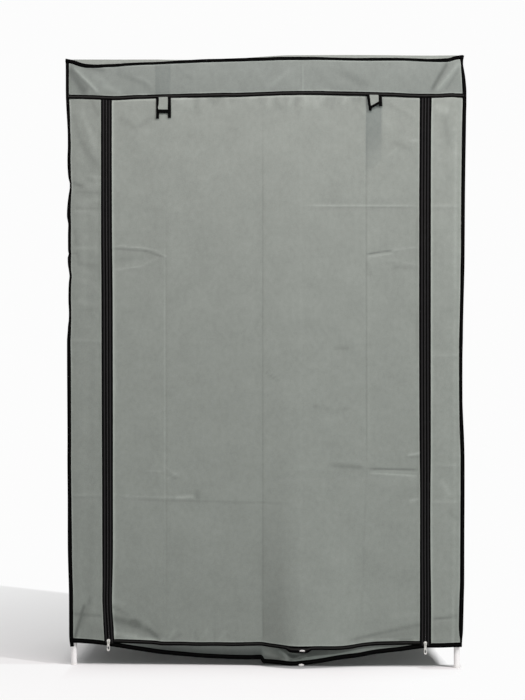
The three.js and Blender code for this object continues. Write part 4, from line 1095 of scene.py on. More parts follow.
def pelmetCloth():
    s = pelmet
    start, end = seamEdges("left", s["middle"])[1], seamEdges("right", s["middle"])[0]
    spots = [onPlane([(px, s["spotRow"])])[0, 0] - start for px in s["spots"]]
    u = stations(0, end - start, spots + [0, end - start], *s["gridAcross"]) / (end - start)
    U, V = np.meshgrid(u, np.linspace(0, 1, s["rows"]))
    height = s["low"] + s["high"] * V
    left = seamEdges("left", height)[1] - cover["seamTuck"]
    right = seamEdges("right", height)[0] + cover["seamTuck"]
    X = left + (right - left) * U
    low = pelmetLine(X) + s["tuck"]
    high = topSeam(X) - 1.5 * mm
    Z = low + (high - low) * V
    folds, crease = foldRelief(X, Z, s["folds"])
    fromEdge = np.minimum(U, 1 - U) * (right - left)
    edge = ease(fromEdge / s["flatSide"]) * ease(V / s["flatEnds"]) * ease((1 - V) / s["flatEnds"])
    cloud = s["cloud"] * (wander(X, Z, 0.15, 31) + 0.25 * wander(X, Z, 0.05, 32))
    Y = cover["front"] - (folds + cloud + s["belly"] * np.sin(np.pi * V)) * edge
    # painted shade of the strap and over the whole pelmet, and painted highlight along its seams
    behind = s["strapShade"] * paintedStrapShade(X, Z, *s["strap"]) + s["shade"]
    pale = seamHighlight(fromEdge - cover["seamTuck"], Z - low - 1.2 * mm, high - 2.6 * mm - Z)
    return coverSheet("pelmet_cloth", "pelmet", X, Y, Z, crease, behind, pale)


pelmetPiece = pelmetCloth()

# Sill: hangs between the zips behind the door's hem, with a sharp fold left of the middle and a pleat
# beside the press fastener

sill = {"half": highOf("sill")[0] - doorMiddle, "high": 52 * mm, "cloud": 0.5 * mm, "tuck": 4.6 * mm,
        "spots": ((262.4, 655), (292, 655)), "gridAcross": (5 * mm, 1.3 * mm, 14 * mm), "rows": 26,
        "folds": {
            "ridge": [
                (279, 649.6, 292, 659.4, 6.5, 4.5), (291, 659.4, 307, 654, 5, 4.5),
                (330, 648, 326, 660, 1.0, 9), (300, 652, 312, 662, -1.4, 8),
            ],
            # painted highlight along the pleat's lit folds, and painted shade beside and right of them
            "worn": [
                (266, 645, 278, 649, 1.2, 4.0), (276, 647.6, 290, 653.6, 2.4, 3.0),
                (286, 652, 302, 655.6, 2.6, 3.4), (284, 652, 288, 662, 1.6, 4.5),
                (262, 658.5, 282, 660.5, -1.6, 6.0), (282, 656.4, 430, 648, -0.6, 20),
                (290, 658, 306, 657, -0.5, 5.0),
            ],
        }}


def sillCloth():
    s = sill
    spots = [onPlane([spot])[0, 0] - doorMiddle for spot in s["spots"]]
    x = doorMiddle + stations(-s["half"], s["half"], spots, *s["gridAcross"])
    X, V = np.meshgrid(x, np.linspace(0, 1, s["rows"]))
    low = sillHemLine(X[0])[None, :] + s["tuck"] + 0 * V
    Z = low + s["high"] * V
    hang = cover["front"] + swing["sillSetBack"]
    folds, crease = foldRelief(X, Z, s["folds"], cover["front"] - 20 * mm)
    cloud = s["cloud"] * wander(X, Z, 0.12, 41)
    Y = hang + (sillY(X) - hang) * (1 - V) ** 1.4 - (folds + cloud) * np.sin(np.pi * V) ** 0.5
    share = (X - doorMiddle) / doorHalf
    turned = ease((share + 1) / 0.35) * ease((0.01 - share) / 0.06)  # where it curls under, with painted shade
    # painted shade over the whole sill, strongest where it curls under near the foot
    behind = 0.3 + 2.7 * turned * ease(1 - V / 0.62)
    return coverSheet("sill_cloth", "sill", X, Y, Z, crease, behind)


sillPiece = sillCloth()
print("front cloth made")

# Side, back and roof cloth

panel = {"wave": 3.0 * mm, "cloud": 0.7 * mm, "top": cover["seam"] - 1.2 * mm, "tuck": 4 * mm,
         "deep": 0.43, "foldSpan": 1.5, "rows": [0.13, 0.27, 0.42, 0.56, 0.72, 0.86], "foldDepth": 0.5 * mm,
         "inset": 1.5 * mm,
         "follow": 0.8,  # share of the front seam's wandering that a side's front edge takes up
         "gridSide": (0.02, 0.006, 0.03), "gridBack": (0.009, 0.0022, 0.009),
         "gridUp": (0.0065, 0.0022, 0.008)}


# Packing folds of a flat panel: a cross of soft ridges at shares of its width and height, which wander a
# little and come and go, each with a painted shade or highlight along it
def packedFolds(U, V, width, height, across, up, depth, seed):
    draw = np.random.default_rng(seed)
    relief = np.zeros(U.shape)
    crease = np.zeros(U.shape)
    for shares, along, other, size, reach in ((across, U, V, width, height), (up, V, U, height, width)):
        for share in shares:
            sign = draw.choice([-1, 1])
            drift = 0.0015 * np.sin(other * reach / 0.07 + draw.uniform(0, turn))
            d = (along - share - drift) * size / (4 * mm)
            strength = 0.6 + 0.4 * np.sin(other * reach / 0.12 + draw.uniform(0, turn))
            relief += sign * depth * strength * np.exp(-d * d)
            crease += sign * 0.7 * strength * np.exp(-(d * 1.3) ** 2)
    return relief, np.clip(crease, -1, 1)


# Shares across and up a side or back panel, and the height of each
def panelGrid(u):
    U, V = np.meshgrid(u, stations(0, 1, panel["rows"] + [0, 1], *panel["gridUp"]))
    foot = cover["hem"] + panel["tuck"]
    return U, V, foot + (panel["top"] - foot) * V


def sideCloth(side):
    sign = sides[side]
    front, back = cover["front"] + panel["inset"], cover["back"] - panel["inset"]
    u = stations(0, 1, [0, 0.5, 1], *panel["gridSide"])
    U, V, Z = panelGrid(u if sign > 0 else u[::-1])
    Y = front + (back - front) * U
    folds, crease = packedFolds(U, V, back - front, panel["foldSpan"], [0.5], panel["rows"],
                                panel["foldDepth"], 51 if sign < 0 else 52)
    edge = np.sin(np.pi * U) ** 0.6 * np.sin(np.pi * V) ** 0.5
    wave = panel["wave"] * (0.5 + 0.5 * np.sin(turn * (1.3 * U + 0.15 * sign + 0.3 * V)))
    cloud = panel["cloud"] * wander(Y, Z, 0.22, 53 if sign < 0 else 54)
    frontSeam = sum(seamEdges(side, Z)) / 2
    drift = (frontSeam - sign * cover["half"]) * (1 - U) ** 2
    X = sign * cover["half"] + sign * (wave + cloud + folds) * edge + drift * panel["follow"]
    # painted highlight along the front and back seams and above the hem
    pale = seamHighlight((1 - U) * panel["deep"], U * panel["deep"], Z - cover["hem"] - cover["bindingEdge"])
    return coverSheet(f"side_cloth_{side}", f"side_panel_{side}", X, Y, Z, crease, edge=pale)


def backCloth():
    half = cover["half"] - panel["inset"]
    U, V, Z = panelGrid(stations(0, 1, [0.25, 0.5, 0.75, 0, 1], *panel["gridBack"]))
    X = half - 2 * half * U
    folds, crease = packedFolds(U, V, 2 * half, panel["foldSpan"], [0.25, 0.5, 0.75], panel["rows"],
                                panel["foldDepth"], 61)
    edge = np.sin(np.pi * U) ** 0.4 * np.sin(np.pi * V) ** 0.5
    wave = panel["wave"] * np.sin(turn * (2.2 * U + 0.3 * V))
    cloud = panel["cloud"] * wander(X, Z, 0.24, 62)
    Y = cover["back"] + (wave + cloud + folds) * edge
    # painted highlight along the corner seams and above the hem
    pale = seamHighlight(half - np.abs(X), Z - cover["hem"] - cover["bindingEdge"])
    return coverSheet("back_cloth", "back_panel", X, Y, Z, crease, edge=pale)


# Roof: rises behind the front seam in a soft roll, falls on to the rail and sags between the rails
roof = {"roll": 20 * mm, "fall": 50 * mm, "overRail": 1.0 * mm, "underSeam": 1.2 * mm, "sag": 4.5 * mm,
        "cloud": 0.9 * mm, "foldHigh": 0.5 * mm, "foldReach": 4 * mm, "foldAt": (0, 0.02),
        "gridAcross": (7 * mm, 2.5 * mm, 20 * mm), "gridDeep": (6 * mm, 1.6 * mm, 16 * mm)}


def roofCloth():
    s = roof
    half = cover["half"] - panel["inset"]
    front, back = cover["front"] + 0.5 * mm, cover["back"] - panel["inset"]
    railBack, railFront = middleOf("top_rail_back")[1], middleOf("top_rail_front")[1]
    x = stations(-half, half, [-half, half, 0], *s["gridAcross"])
    y = stations(front, back, [front, railFront, railBack, back], *s["gridDeep"])
    X, Y = np.meshgrid(x, y)
    top = max(panel["top"], highOf("top_rail_front")[2] + s["overRail"])
    seam = topSeam(X) - s["underSeam"]
    crest = np.maximum(photoLine(crestPhoto, X, front + s["roll"]), seam)
    into = Y - front
    rising = seam + (crest - seam) * np.sin(np.pi / 2 * np.clip(into / s["roll"], 0, 1))
    falling = top + (crest - top) * (1 - ease((into - s["roll"]) / s["fall"]))
    level = np.where(into < s["roll"], rising, falling)
    inside = np.clip(1 - ((Y - (railFront + railBack) / 2) / (railBack - railFront) * 2) ** 2, 0, 1)
    sag = s["sag"] * inside * np.clip(1 - (X / half) ** 4, 0, 1)
    cloud = s["cloud"] * wander(X, Y, 0.2, 71) * inside
    foldX, foldY = s["foldAt"]
    fold = s["foldHigh"] * (bump(X, foldX, s["foldReach"]) + bump(Y, foldY, s["foldReach"])) * inside
    # painted highlight along the roof's two packing folds
    crease = np.clip(bump(X, foldX, 3 * mm) + bump(Y, foldY, 3 * mm), 0, 1) * inside
    return coverSheet("roof_cloth", "roof_panel", X, Y, level - sag + cloud + fold, crease)


sidePieces = [sideCloth("left"), sideCloth("right")]
backPiece = backCloth()
roofPiece = roofCloth()
print("side, back and roof cloth made")

# Bindings: folded tape with a stitched groove near its open edge

binding = {"hemWide": 12.6 * mm, "doorWide": 10.8 * mm, "thick": 3.4 * mm, "pelmetWide": 11.3 * mm,
           "pelmetThick": 4 * mm, "seamWide": 8.6 * mm, "backSeamWide": 7.5 * mm, "seamThick": 3.2 * mm,
           "wobble": 0.25 * mm, "tongue": 7 * mm, "besideZip": 17 * mm, "underZip": 3.4 * mm,
           "hemSag": 2.5 * mm, "roofSeamOut": 1.5 * mm}


# Folded tape seen from its end: a flat oval with a shallow groove where the stitches draw it in
def foldedProfile(width, thick):
    t = np.linspace(0, turn, 29)[:-1]
    w = width / 2 * np.sign(np.cos(t)) * np.abs(np.cos(t)) ** 0.7
    d = thick / 2 * np.sign(np.sin(t)) * np.abs(np.sin(t)) ** 0.75
    groove = 1 - 0.3 * bump(w, -width * 0.26, width * 0.09) - 0.12 * bump(w, width * 0.12, width * 0.2)
    return np.stack([w, d * groove], 1)


def wobbly(path, seed, size=binding["wobble"]):
    path = np.asarray(path, float)
    s = runAlong(path)
    shift = np.stack([wander(s, 0 * s, 0.09, seed + k) for k in range(3)], 1) * size
    return path + shift


def pelmetBinding():
    left, right = seamEdges("left", 1.514)[1] - 3 * mm, seamEdges("right", 1.51)[0] + 3 * mm
    x = np.linspace(left, right, 300)
    path = track(x, cover["front"] - 0.6 * mm, pelmetLine(x))
    piece = sweptPiece("pelmet_tape", wobbly(path, 81), (0, 0, 1),
                       foldedProfile(binding["pelmetWide"], binding["pelmetThick"]))
    return dress(piece, "binding", ["pelmet_binding"])


# The door's binding widens into a tongue that carries the press fastener
def doorHemBinding():
    left, right = zipEdges("left", 0.064)[1] - 1 * mm, zipEdges("right", 0.064)[0] + 1 * mm
    x = np.linspace(left, right, 420)
    tongue = between(x, *[onPlane([(px, 650)], -0.24)[0, 0] for px in (288, 309)], 16 * mm)
    extra = binding["tongue"] * tongue
    path = track(x, doorHemY(x), doorHemLine(x) - extra / 2)
    piece = sweptPiece("door_hem_tape", wobbly(path, 84), (0, 0, 1),
                       foldedProfile(binding["doorWide"], binding["thick"]),
                       scale=(1 + extra / binding["doorWide"], 1 + 0 * extra))
    return dress(piece, "binding", ["door_hem_binding"], "door_hem")


# Hem round the sides and the back, and along the sill, as one closed loop
def hemBinding():
    front, half = cover["front"], cover["half"]
    seamLeft, seamRight = seamEdges("left", 0.064)[0] + 2 * mm, seamEdges("right", 0.064)[1] - 1 * mm
    zipLeft, zipRight = zipMiddle("left", 0.06), zipMiddle("right", 0.06)
    xl = np.linspace(seamLeft, zipLeft - binding["besideZip"], 40)
    xr = np.linspace(zipRight + binding["besideZip"], seamRight, 40)
    xs = np.linspace(doorMiddle - sill["half"] + 1 * mm, doorMiddle + sill["half"] - 1 * mm, 460)
    ys = np.linspace(front + 6 * mm, cover["back"] - 6 * mm, 60)
    xb = np.linspace(half, -half, 140)
    leftZ, rightZ = stileHemLine("left", xl[:1])[0], stileHemLine("right", xr[-1:])[0]
    toBack = ease((ys - ys[0]) / (ys[-1] - ys[0]))
    sag = binding["hemSag"] * np.sin(turn * (ys - ys[0]) / (ys[-1] - ys[0]))
    right, left = [track(x + (end - x) * toBack, ys, z + (cover["hem"] - z) * toBack + sway)
                   for x, end, z, sway in ((seamRight, half, rightZ, sag), (seamLeft, -half, leftZ, -sag))]
    path = np.concatenate([
        track(xl, front, stileHemLine("left", xl)),
        [[zipLeft, front + binding["underZip"], onPlane([(108.5, 643.6)])[0, 2]]],
        track(xs, sillY(xs), sillHemLine(xs)),
        [[zipRight, front + binding["underZip"], onPlane([(425, 645.6)])[0, 2]]],
        track(xr, front, stileHemLine("right", xr)),
        right,
        track(xb, cover["back"], cover["hem"] + 2 * mm * np.sin(xb / 0.13)),
        left[::-1],
    ])
    piece = sweptPiece("hem_tape", path, (0, 0, 1), foldedProfile(binding["hemWide"], binding["thick"]),
                       closed=True)
    return dress(piece, "edging", ["hem_binding"])


# Upright corner seams and the roof's seam, whose tape stands out at 45 degrees. In front its width is the
# one measured between its two edges.
def cornerSeams():
    pieces = []
    for side, sign in sides.items():
        z = np.linspace(51 * mm if sign < 0 else 60 * mm, cover["seam"] + 2.5 * mm, 520)
        first, second = seamEdges(side, z)
        narrow = np.clip((second - first + 0.4 * mm) / binding["seamWide"], 0.45, 1.4)
        path = track((first + second) / 2, cover["front"] + 0.1 * mm, z)
        pieces.append(sweptPiece(f"corner_tape_front_{side}", path, (1, 0, 0),
                                 foldedProfile(binding["seamWide"], binding["seamThick"]),
                                 scale=(narrow, 1 + 0 * z)))
        z = np.linspace(lowOf("edge_binding")[2], cover["seam"] + 1.5 * mm, 260)
        path = track(sign * (cover["half"] + 2 * mm) + 0.8 * mm * np.sin(z / 0.06),
                     cover["back"] + 1.5 * mm + 0.8 * mm * np.sin(z / 0.05 + 2), z)
        pieces.append(sweptPiece(f"corner_tape_back_{side}", path, (sign, 1, 0),
                                 foldedProfile(binding["backSeamWide"], binding["seamThick"])))
    return pieces


def roofSeam():
    front, half, out = cover["front"], cover["half"], binding["roofSeamOut"]
    left, right = onPlane([(65.4, 60)])[0, 0] + 2 * mm, onPlane([(463, 57)])[0, 0] - 2 * mm
    xf = np.linspace(left, right, 400)
    yr = np.linspace(front + 3 * mm, cover["back"] - 3 * mm, 70)
    xb = np.linspace(half, -half, 160)
    level = cover["seam"] + 1 * mm
    nearFront = 1 - ease((yr - front) / 0.08)
    rightZ, leftZ = topSeam(np.array([right]))[0], topSeam(np.array([left]))[0]
    wave = 1 * mm * np.sin(yr / 0.045)
    leftEdge, rightEdge = [track(x, yr, level + (z - level) * nearFront + wave)
                           for x, z in ((-half - out, leftZ), (half + out, rightZ))]
    path = np.concatenate([
        track(xf, front - 1.4 * mm, topSeam(xf)),
        rightEdge,
        track(xb, cover["back"] + out, level + 1.2 * mm * np.sin(xb / 0.07)),
        leftEdge[::-1],
    ])
    pixel = 2.645 * mm / binding["seamWide"]  # one picture point at the front, as a share of the width
    wide = np.ones(len(path))
    spots = onPlane([(px, 60) for px, _ in topSeamWide])[:, 0]
    wide[:len(xf)] = smoothLine(np.stack([spots, [w for _, w in topSeamWide]], 1), xf) * pixel
    slants = np.repeat([[0, -0.25, 1.0], [0.7, 0, 0.7], [0, 0.7, 0.7], [-0.7, 0, 0.7]],
                       [len(xf), len(yr), len(xb), len(yr)], axis=0)
    return sweptPiece("roof_tape", path, slants, foldedProfile(binding["seamWide"], binding["seamThick"]),
                      closed=True, scale=(wide, 1 + 0 * wide))


pelmetBinding()
doorHemBinding()
hemBinding()
for piece in [*cornerSeams(), roofSeam()]:
    dress(piece, "edging", ["edge_binding"])
print("bindings made")

# Zips

zipper = {"tapeWide": 16 * mm, "tapeThick": 0.9 * mm, "gap": 0.01 * mm, "mesh": 0.18, "coilWide": 2.1 * mm,
          "coilThick": 2.8 * mm, "pitch": 2.0 * mm, "rings": 4, "ribPlace": 7.8 * mm, "ribReach": 1.6 * mm,
          "ribHigh": 0.5 * mm, "pathStep": 8 * mm,
          "low": lowOf("zip_tape_left")[2], "high": doorTop}


# Half of a zip: a flat woven tape with a raised rib, and the coil's ridges along its inner edge. The coil's
# section swells and shrinks once a tooth, and each tooth fills the other half's notch.
def zipHalf(name, side, direction):
    s = zipper
    wide, thick = s["tapeWide"], s["tapeThick"] / 2
    w = np.linspace(s["gap"] + s["coilWide"] * 0.5, s["gap"] + wide, 30)
    ribs = bump(w, s["ribPlace"], s["ribReach"])
    top = np.stack([w, thick + ribs * s["ribHigh"]], 1)
    back = w[::-1][::5]
    bottom = np.stack([back, np.full(back.shape, -thick)], 1)
    z = np.arange(s["low"], s["high"], s["pathStep"])
    x = zipMiddle(side, z)
    y = cover["front"] + 0.25 * mm * wander(z, 0 * z, 0.3, 7 + direction)
    tape = sweptPiece(name, track(x, y, z), (direction, 0, 0), np.concatenate([top, bottom]) * [1, direction])
    # where the raised ribs get their painted highlight
    setAttribute(tape, "rib", np.tile(np.concatenate([ribs, 0 * back]), len(z)))
    rings = s["rings"]
    step = np.arange(int((s["high"] - s["low"]) / s["pitch"] * rings))
    swell = 1 - s["mesh"] + s["mesh"] * direction * np.cos(step * turn / rings)
    a = np.linspace(0, turn, 9)[:-1]
    oval = np.stack([np.cos(a) * s["coilWide"] / 2, np.sin(a) * s["coilThick"] / 2], 1)
    zc = s["low"] + step * s["pitch"] / rings
    spine = track(np.interp(zc, z, x) + direction * (s["gap"] + s["coilWide"] / 2 * (1 - s["mesh"])),
                  np.interp(zc, z, y), zc)
    coil = sweptPiece(name + "_coil", spine, (1, 0, 0), oval, scale=(swell, swell), sharp=80)
    return tape, coil


doorZipPieces = []
for side, sign in sides.items():
    for owner, direction in (("", sign), ("door_", -sign)):
        tape, coil = zipHalf(f"{owner}zip_half_{side}", side, direction)
        dress(tape, "zip", [f"{owner}zip_tape_{side}"])
        dress(coil, "coil")
        if owner:
            doorZipPieces += [tape, coil]
print("zips made")

# Ties

tie = {"edgeWide": (7.6 * mm, 8.6 * mm), "barWide": {"left": 9.6 * mm, "right": 6.4 * mm}, "thick": 1.7 * mm,
       "webThick": 0.7 * mm, "strapThick": 0.8 * mm, "strapInset": 1 * mm, "lean": 2.0 * mm,
       # foot of the two edges, then the two ends of the bar
       "left": {"edges": [(157.7, 118.7), (169.6, 117.8)], "bar": [(157.7, 111.2), (169.6, 111.4)]},
       "right": {"edges": [(370.2, 110.8), (380.8, 106.4)], "bar": [(370.6, 107.6), (380.6, 102.0)]},
       "tops": {"left": (157.6, 169.4), "right": (368.2, 380.1)}}


# Flat web between two slanting edges: its top and foot each run from one edge to the other
def tieWeb(name, corners, thick):
    topLeft, topRight, footLeft, footRight = (np.asarray(c, float) for c in corners)
    U, V = np.meshgrid(np.linspace(0, 1, 20), np.linspace(0, 1, 24))
    U, V = U[..., None], V[..., None]
    top, foot = topLeft + (topRight - topLeft) * U, footLeft + (footRight - footLeft) * U
    middle = foot + (top - foot) * V
    middle[..., 1] -= (0.5 * mm * np.sin(U * 5 + V * 3) * (1 - V))[..., 0]
    return clothPiece(name, middle, thick)


def strip(name, spots, width):
    spots = np.asarray(spots, float)
    s = runAlong(spots)
    t = np.linspace(0, s[-1], max(10, int(s[-1] / (1.5 * mm))))
    path = np.stack([np.interp(t, s, spots[:, k]) for k in range(3)], 1)
    wide = np.cross(np.gradient(path, axis=0), (0.0, 1.0, 0.0))
    return sweptPiece(name, path, wide, foldedProfile(width, tie["thick"]))


# Outer ties in front of the door: cloth between two bound edges, which go on below it as loose ends, and a
# bound foot
def outerTies():
    made = {}
    for side in sides:
        s = tie[side]
        y = middleOf(f"outer_tie_{side}")[1]
        feet, bar = onPlane(s["edges"], y), onPlane(s["bar"], y)
        tops = onPlane([(px, 98) for px in tie["tops"][side]], y)
        tops[:, 2] = pelmetLine(tops[:, 0]) - 2 * mm
        feet[:, 1] -= tie["lean"]
        bar[:, 1] -= tie["lean"] * 0.8
        web = tieWeb(f"outer_tie_{side}_web", [tops[0], tops[1], bar[0], bar[1]], tie["webThick"])
        strips = [strip(f"outer_tie_{side}_edge_{k}", [tops[k], bar[k] + (feet[k] - bar[k]) * 0.3, feet[k]],
                        tie["edgeWide"][k]) for k in (0, 1)]
        strips.append(strip(f"outer_tie_{side}_foot", bar + [0, -1.1 * mm, 0], tie["barWide"][side]))
        dress(web, "web", [f"outer_tie_{side}"], f"outer_tab_{side}")
        for piece in strips:
            dress(piece, "edging", [], f"outer_tab_{side}")
        made[side] = (web, strips)
    return made


# Inner straps: the right one hangs straight down behind the door, and the left one goes over the front rail
def innerStraps():
    low, high = lowOf("inner_tie_right"), highOf("inner_tie_right")
    y = (low[1] + high[1]) / 2
    inset = tie["strapInset"]
    a, b, top = low[0] + inset, high[0] - inset, high[2] - inset
    edgeLeft, edgeRight, footLeft, footRight, _ = door["strap"]
    foot = onPlane([(edgeLeft, footLeft), (edgeRight, footRight)])[:, 2]
    corners = [(a, y, top), (b, y, top), (a, y, foot[0]), (b, y, foot[1])]
    right = tieWeb("inner_strap_right", corners, tie["strapThick"])
    dress(right, "strap", ["inner_tie_right"], "inner_strap_right")
    low, high = lowOf("inner_tie_left"), highOf("inner_tie_left")
    rail = middleOf("top_rail_front")
    radius = tube["radius"] + 0.9 * mm
    angle = np.linspace(math.pi, 0, 26)
    arc = np.stack([rail[1] + radius * np.cos(angle), rail[2] + radius * np.sin(angle)], 1)
    rise = np.stack([np.linspace(cover["front"] + 2.8 * mm, arc[0, 0], 22),
                     np.linspace(low[2] + 12 * mm, arc[0, 1], 22)], 1)[:-1]
    fall = np.stack([np.full(21, arc[-1, 0]), np.linspace(arc[-1, 1], low[2] + inset, 21)], 1)[1:]
    line = np.concatenate([rise, arc, fall])
    X, Y = np.meshgrid(np.linspace(low[0] + inset, high[0] - inset, 16), line[:, 0])
    left = clothPiece("inner_strap_left", track(X, Y, line[:, 1:]), tie["strapThick"])
    dress(left, "strap", ["inner_tie_left"])
    return left, right


outerTiePieces = outerTies()
innerPieces = innerStraps()
print("ties made")

# Sliders and pulls: stamped plates with rounded edges

slider = {"length": 15 * mm, "half": 4.6 * mm, "neck": 3.5 * mm, "plate": 1.2 * mm, "out": 3.1 * mm,
          "bailWide": 1.7 * mm, "bailThick": 1.2 * mm, "bailOut": 4.1 * mm, "lip": 1.1 * mm,
          "lipThick": 1.0 * mm, "lipOut": 1.6 * mm, "soft": 0.45 * mm, "postRadius": 0.75 * mm,
          "postHalf": 2.4 * mm, "postUp": 1.6 * mm,
          "aside": {"left": 1.4 * mm, "right": 1.2 * mm}, "lower": 3 * mm,
          "hole": (1.7 * mm, -2.2 * mm, 4.2 * mm)}
pull = {"thick": 1.4 * mm, "soft": 0.5 * mm, "half": 3.9 * mm, "waist": 2.9 * mm,
        "longer": {"left": 0, "right": 3 * mm}, "window": (2.2 * mm, 4.6 * mm, 12.6 * mm),
        "eyeHalf": 1.7 * mm, "eye": (7 * mm, 1.3 * mm)}


# Flat plate in the plane of X and Z from closed outlines of (x, z) places: the first is its rim and the
# others are its holes. Its edges are rounded by `soft`.
def stampedPiece(name, outlines, thick, soft, place):
    curve = bpy.data.curves.new(name, "CURVE")
    curve.dimensions, curve.fill_mode = "2D", "BOTH"
    curve.extrude, curve.bevel_depth, curve.bevel_resolution, curve.offset = thick / 2 - soft, soft, 2, -soft
    for outline in outlines:
        spline = curve.splines.new("POLY")
        spline.points.add(len(outline) - 1)
        flat = np.column_stack([outline, np.zeros(len(outline)), np.ones(len(outline))])
        spline.points.foreach_set("co", flat.astype(np.float32).ravel())
        spline.use_cyclic_u = True
    holder = bpy.data.objects.new(name, curve)
    mesh = weldedMesh(bpy.data.meshes.new_from_object(holder))
    bpy.data.objects.remove(holder)
    co = np.empty(len(mesh.vertices) * 3, np.float32)
    mesh.vertices.foreach_get("co", co)
    co = co.reshape(-1, 3)[:, [0, 2, 1]] + np.asarray(place, np.float32)
    mesh.vertices.foreach_set("co", co.astype(np.float32).ravel())
    mesh.polygons.foreach_set("use_smooth", np.ones(len(mesh.polygons), bool))
    mesh.update()
    mesh.set_sharp_from_angle(angle=math.radians(40))
    piece = bpy.data.objects.new(name, mesh)
    bpy.context.scene.collection.objects.link(piece)
    fixFacing(piece)
    return piece


# Closed outline whose half width at each height follows the given (height, half width) places, with round
# ends
def waistedOutline(places, count=26):
    low, high = places[0][0], places[-1][0]
    z = low + (high - low) * (1 - np.cos(np.linspace(0, math.pi, count))) / 2
    half = smoothLine(places, z)
    rim = np.minimum(1, np.minimum(z - low, high - z) / (0.9 * half.max()))
    half = half * np.sqrt(np.clip(1 - (1 - rim) ** 2, 0, 1))
    return np.concatenate([np.stack([half, z], 1)[:-1], np.stack([-half, z], 1)[::-1][:-1]])


def slotOutline(halfWide, low, high, count=20):
    a = np.linspace(0, turn, count, endpoint=False)
    middle, reach = (low + high) / 2, (high - low) / 2 - halfWide
    return np.stack([halfWide * np.cos(a), middle + reach * np.sign(np.sin(a)) + halfWide * np.sin(a)], 1)


def sliderPieces(side):
    s = slider
    body = f"{side}_zip_slider"
    node = f"zip_slider_{side}"
    middle = middleOf(node)
    x, z, y = middle[0] + s["aside"][side], middle[2] - s["lower"], cover["front"]
    half = s["length"] / 2
    flank = [(-half, s["neck"]), (-half * 0.2, s["neck"] * 1.05), (half * 0.45, s["half"]), (half, s["half"])]
    rim = waistedOutline(flank)
    pieces = [stampedPiece(f"slider_{side}_{name}", outlines, s["plate"], s["soft"],
                           (x, y + way * (s["out"] - s["plate"] / 2), z))
              for name, outlines, way in (("front", [rim, slotOutline(*s["hole"])], -1), ("back", [rim], 1))]
    zs = np.linspace(-half + 2 * mm, half - 3.5 * mm, 24)
    rimX = smoothLine(flank, zs) - 0.5 * mm
    lipSection = foldedProfile(s["lip"], s["lipThick"])
    for sign in (-1, 1):
        for depth in (-1, 1):
            path = track(x + sign * rimX, y + depth * s["lipOut"], z + zs)
            pieces.append(sweptPiece(f"slider_{side}_lip_{sign}_{depth}", path, (0, 1, 0), lipSection))
    t = np.linspace(0, math.pi, 30)
    bailHalf = half - 2.2 * mm
    arch = track(x, y - s["out"] + 0.4 * mm - s["bailOut"] * np.sin(t) ** 0.5,
                 z + 0.6 * mm + bailHalf * np.cos(t))
    section = foldedProfile(s["bailWide"], s["bailThick"])
    pieces.append(sweptPiece(f"slider_{side}_bail", arch, (1, 0, 0), section))
    r, h = s["postRadius"], s["postHalf"]
    pieces.append(turnedPiece(f"slider_{side}_post", [(0, -h), (r, -h), (r, h), (0, h)],
                              (x, y, z - half + s["postUp"]), "y", 16))
    for k, piece in enumerate(pieces):
        dress(piece, "slider", [node] if k == 0 else [], body)


def pullPieces(side):
    s = pull
    node = f"zip_pull_{side}"
    top, low = highOf(node)[2], lowOf(node)[2] - s["longer"][side]
    x, y = middleOf(node)[:2] + [slider["aside"][side], 0]
    long = top - low
    rim = waistedOutline([(long * up, half) for up, half in (
        (0, s["half"]), (0.3, s["half"]), (0.5, s["half"] * 0.9), (0.62, s["waist"]),
        (0.75, s["waist"] * 1.12), (1, s["waist"] * 1.12))])
    eye = slotOutline(s["eyeHalf"], long - s["eye"][0], long - s["eye"][1])
    outlines = [rim, eye, slotOutline(*s["window"])]
    dress(stampedPiece(f"pull_{side}", outlines, s["thick"], s["soft"], (x, y, low)), "slider", [node],
          f"{side}_zip_pull")


for side in sides:
    sliderPieces(side)
    pullPieces(side)

# Press fastener: two discs whose faces look up to the front

snap = {"radius": 7.3 * mm, "socket": [(299, 651), (305, 651)], "stud": [(298.5, 664.9), (303.8, 664.9)],
        "tilt": math.radians(-28),
        # shares of the radius against millimetres of height
        "profiles": {"socket": [(0, -1.0), (0.92, -1.0), (1, -0.4), (0.97, 0.4), (0.8, 1.0), (0.62, 0.7),
                                (0.46, 0.9), (0.36, 0.9), (0.3, 0.2), (0, 0.2)],
                     "stud": [(0, -1.0), (0.92, -1.0), (1, -0.4), (0.95, 0.3), (0.4, 0.7), (0.34, 1.8),
                              (0.26, 2.3), (0, 2.4)]}}


def pressFastener():
    s = snap
    r = s["radius"]
    for name, body in (("socket", "door_hem"), ("stud", "root")):
        profile = [(r * share, height * mm) for share, height in s["profiles"][name]]
        near = middleOf(f"snap_{name}")
        spots = onPlane(s[name], near[1])
        place = (spots[0] + spots[1]) / 2
        dress(turnedPiece(f"snap_{name}_disc", profile, place, "z", 44, tilt=s["tilt"]), "snap",
              [f"snap_{name}"], body)


pressFastener()
print("sliders and press fastener made")

# Frame tubes, caps and shelf


def tubeProfile(low, high, radius=tube["radius"]):
    inner, r = radius - tube["wall"], tube["round"]
    return [(inner, low), (radius - r, low), (radius, low + r), (radius, high - r), (radius - r, high),
            (inner, high)]


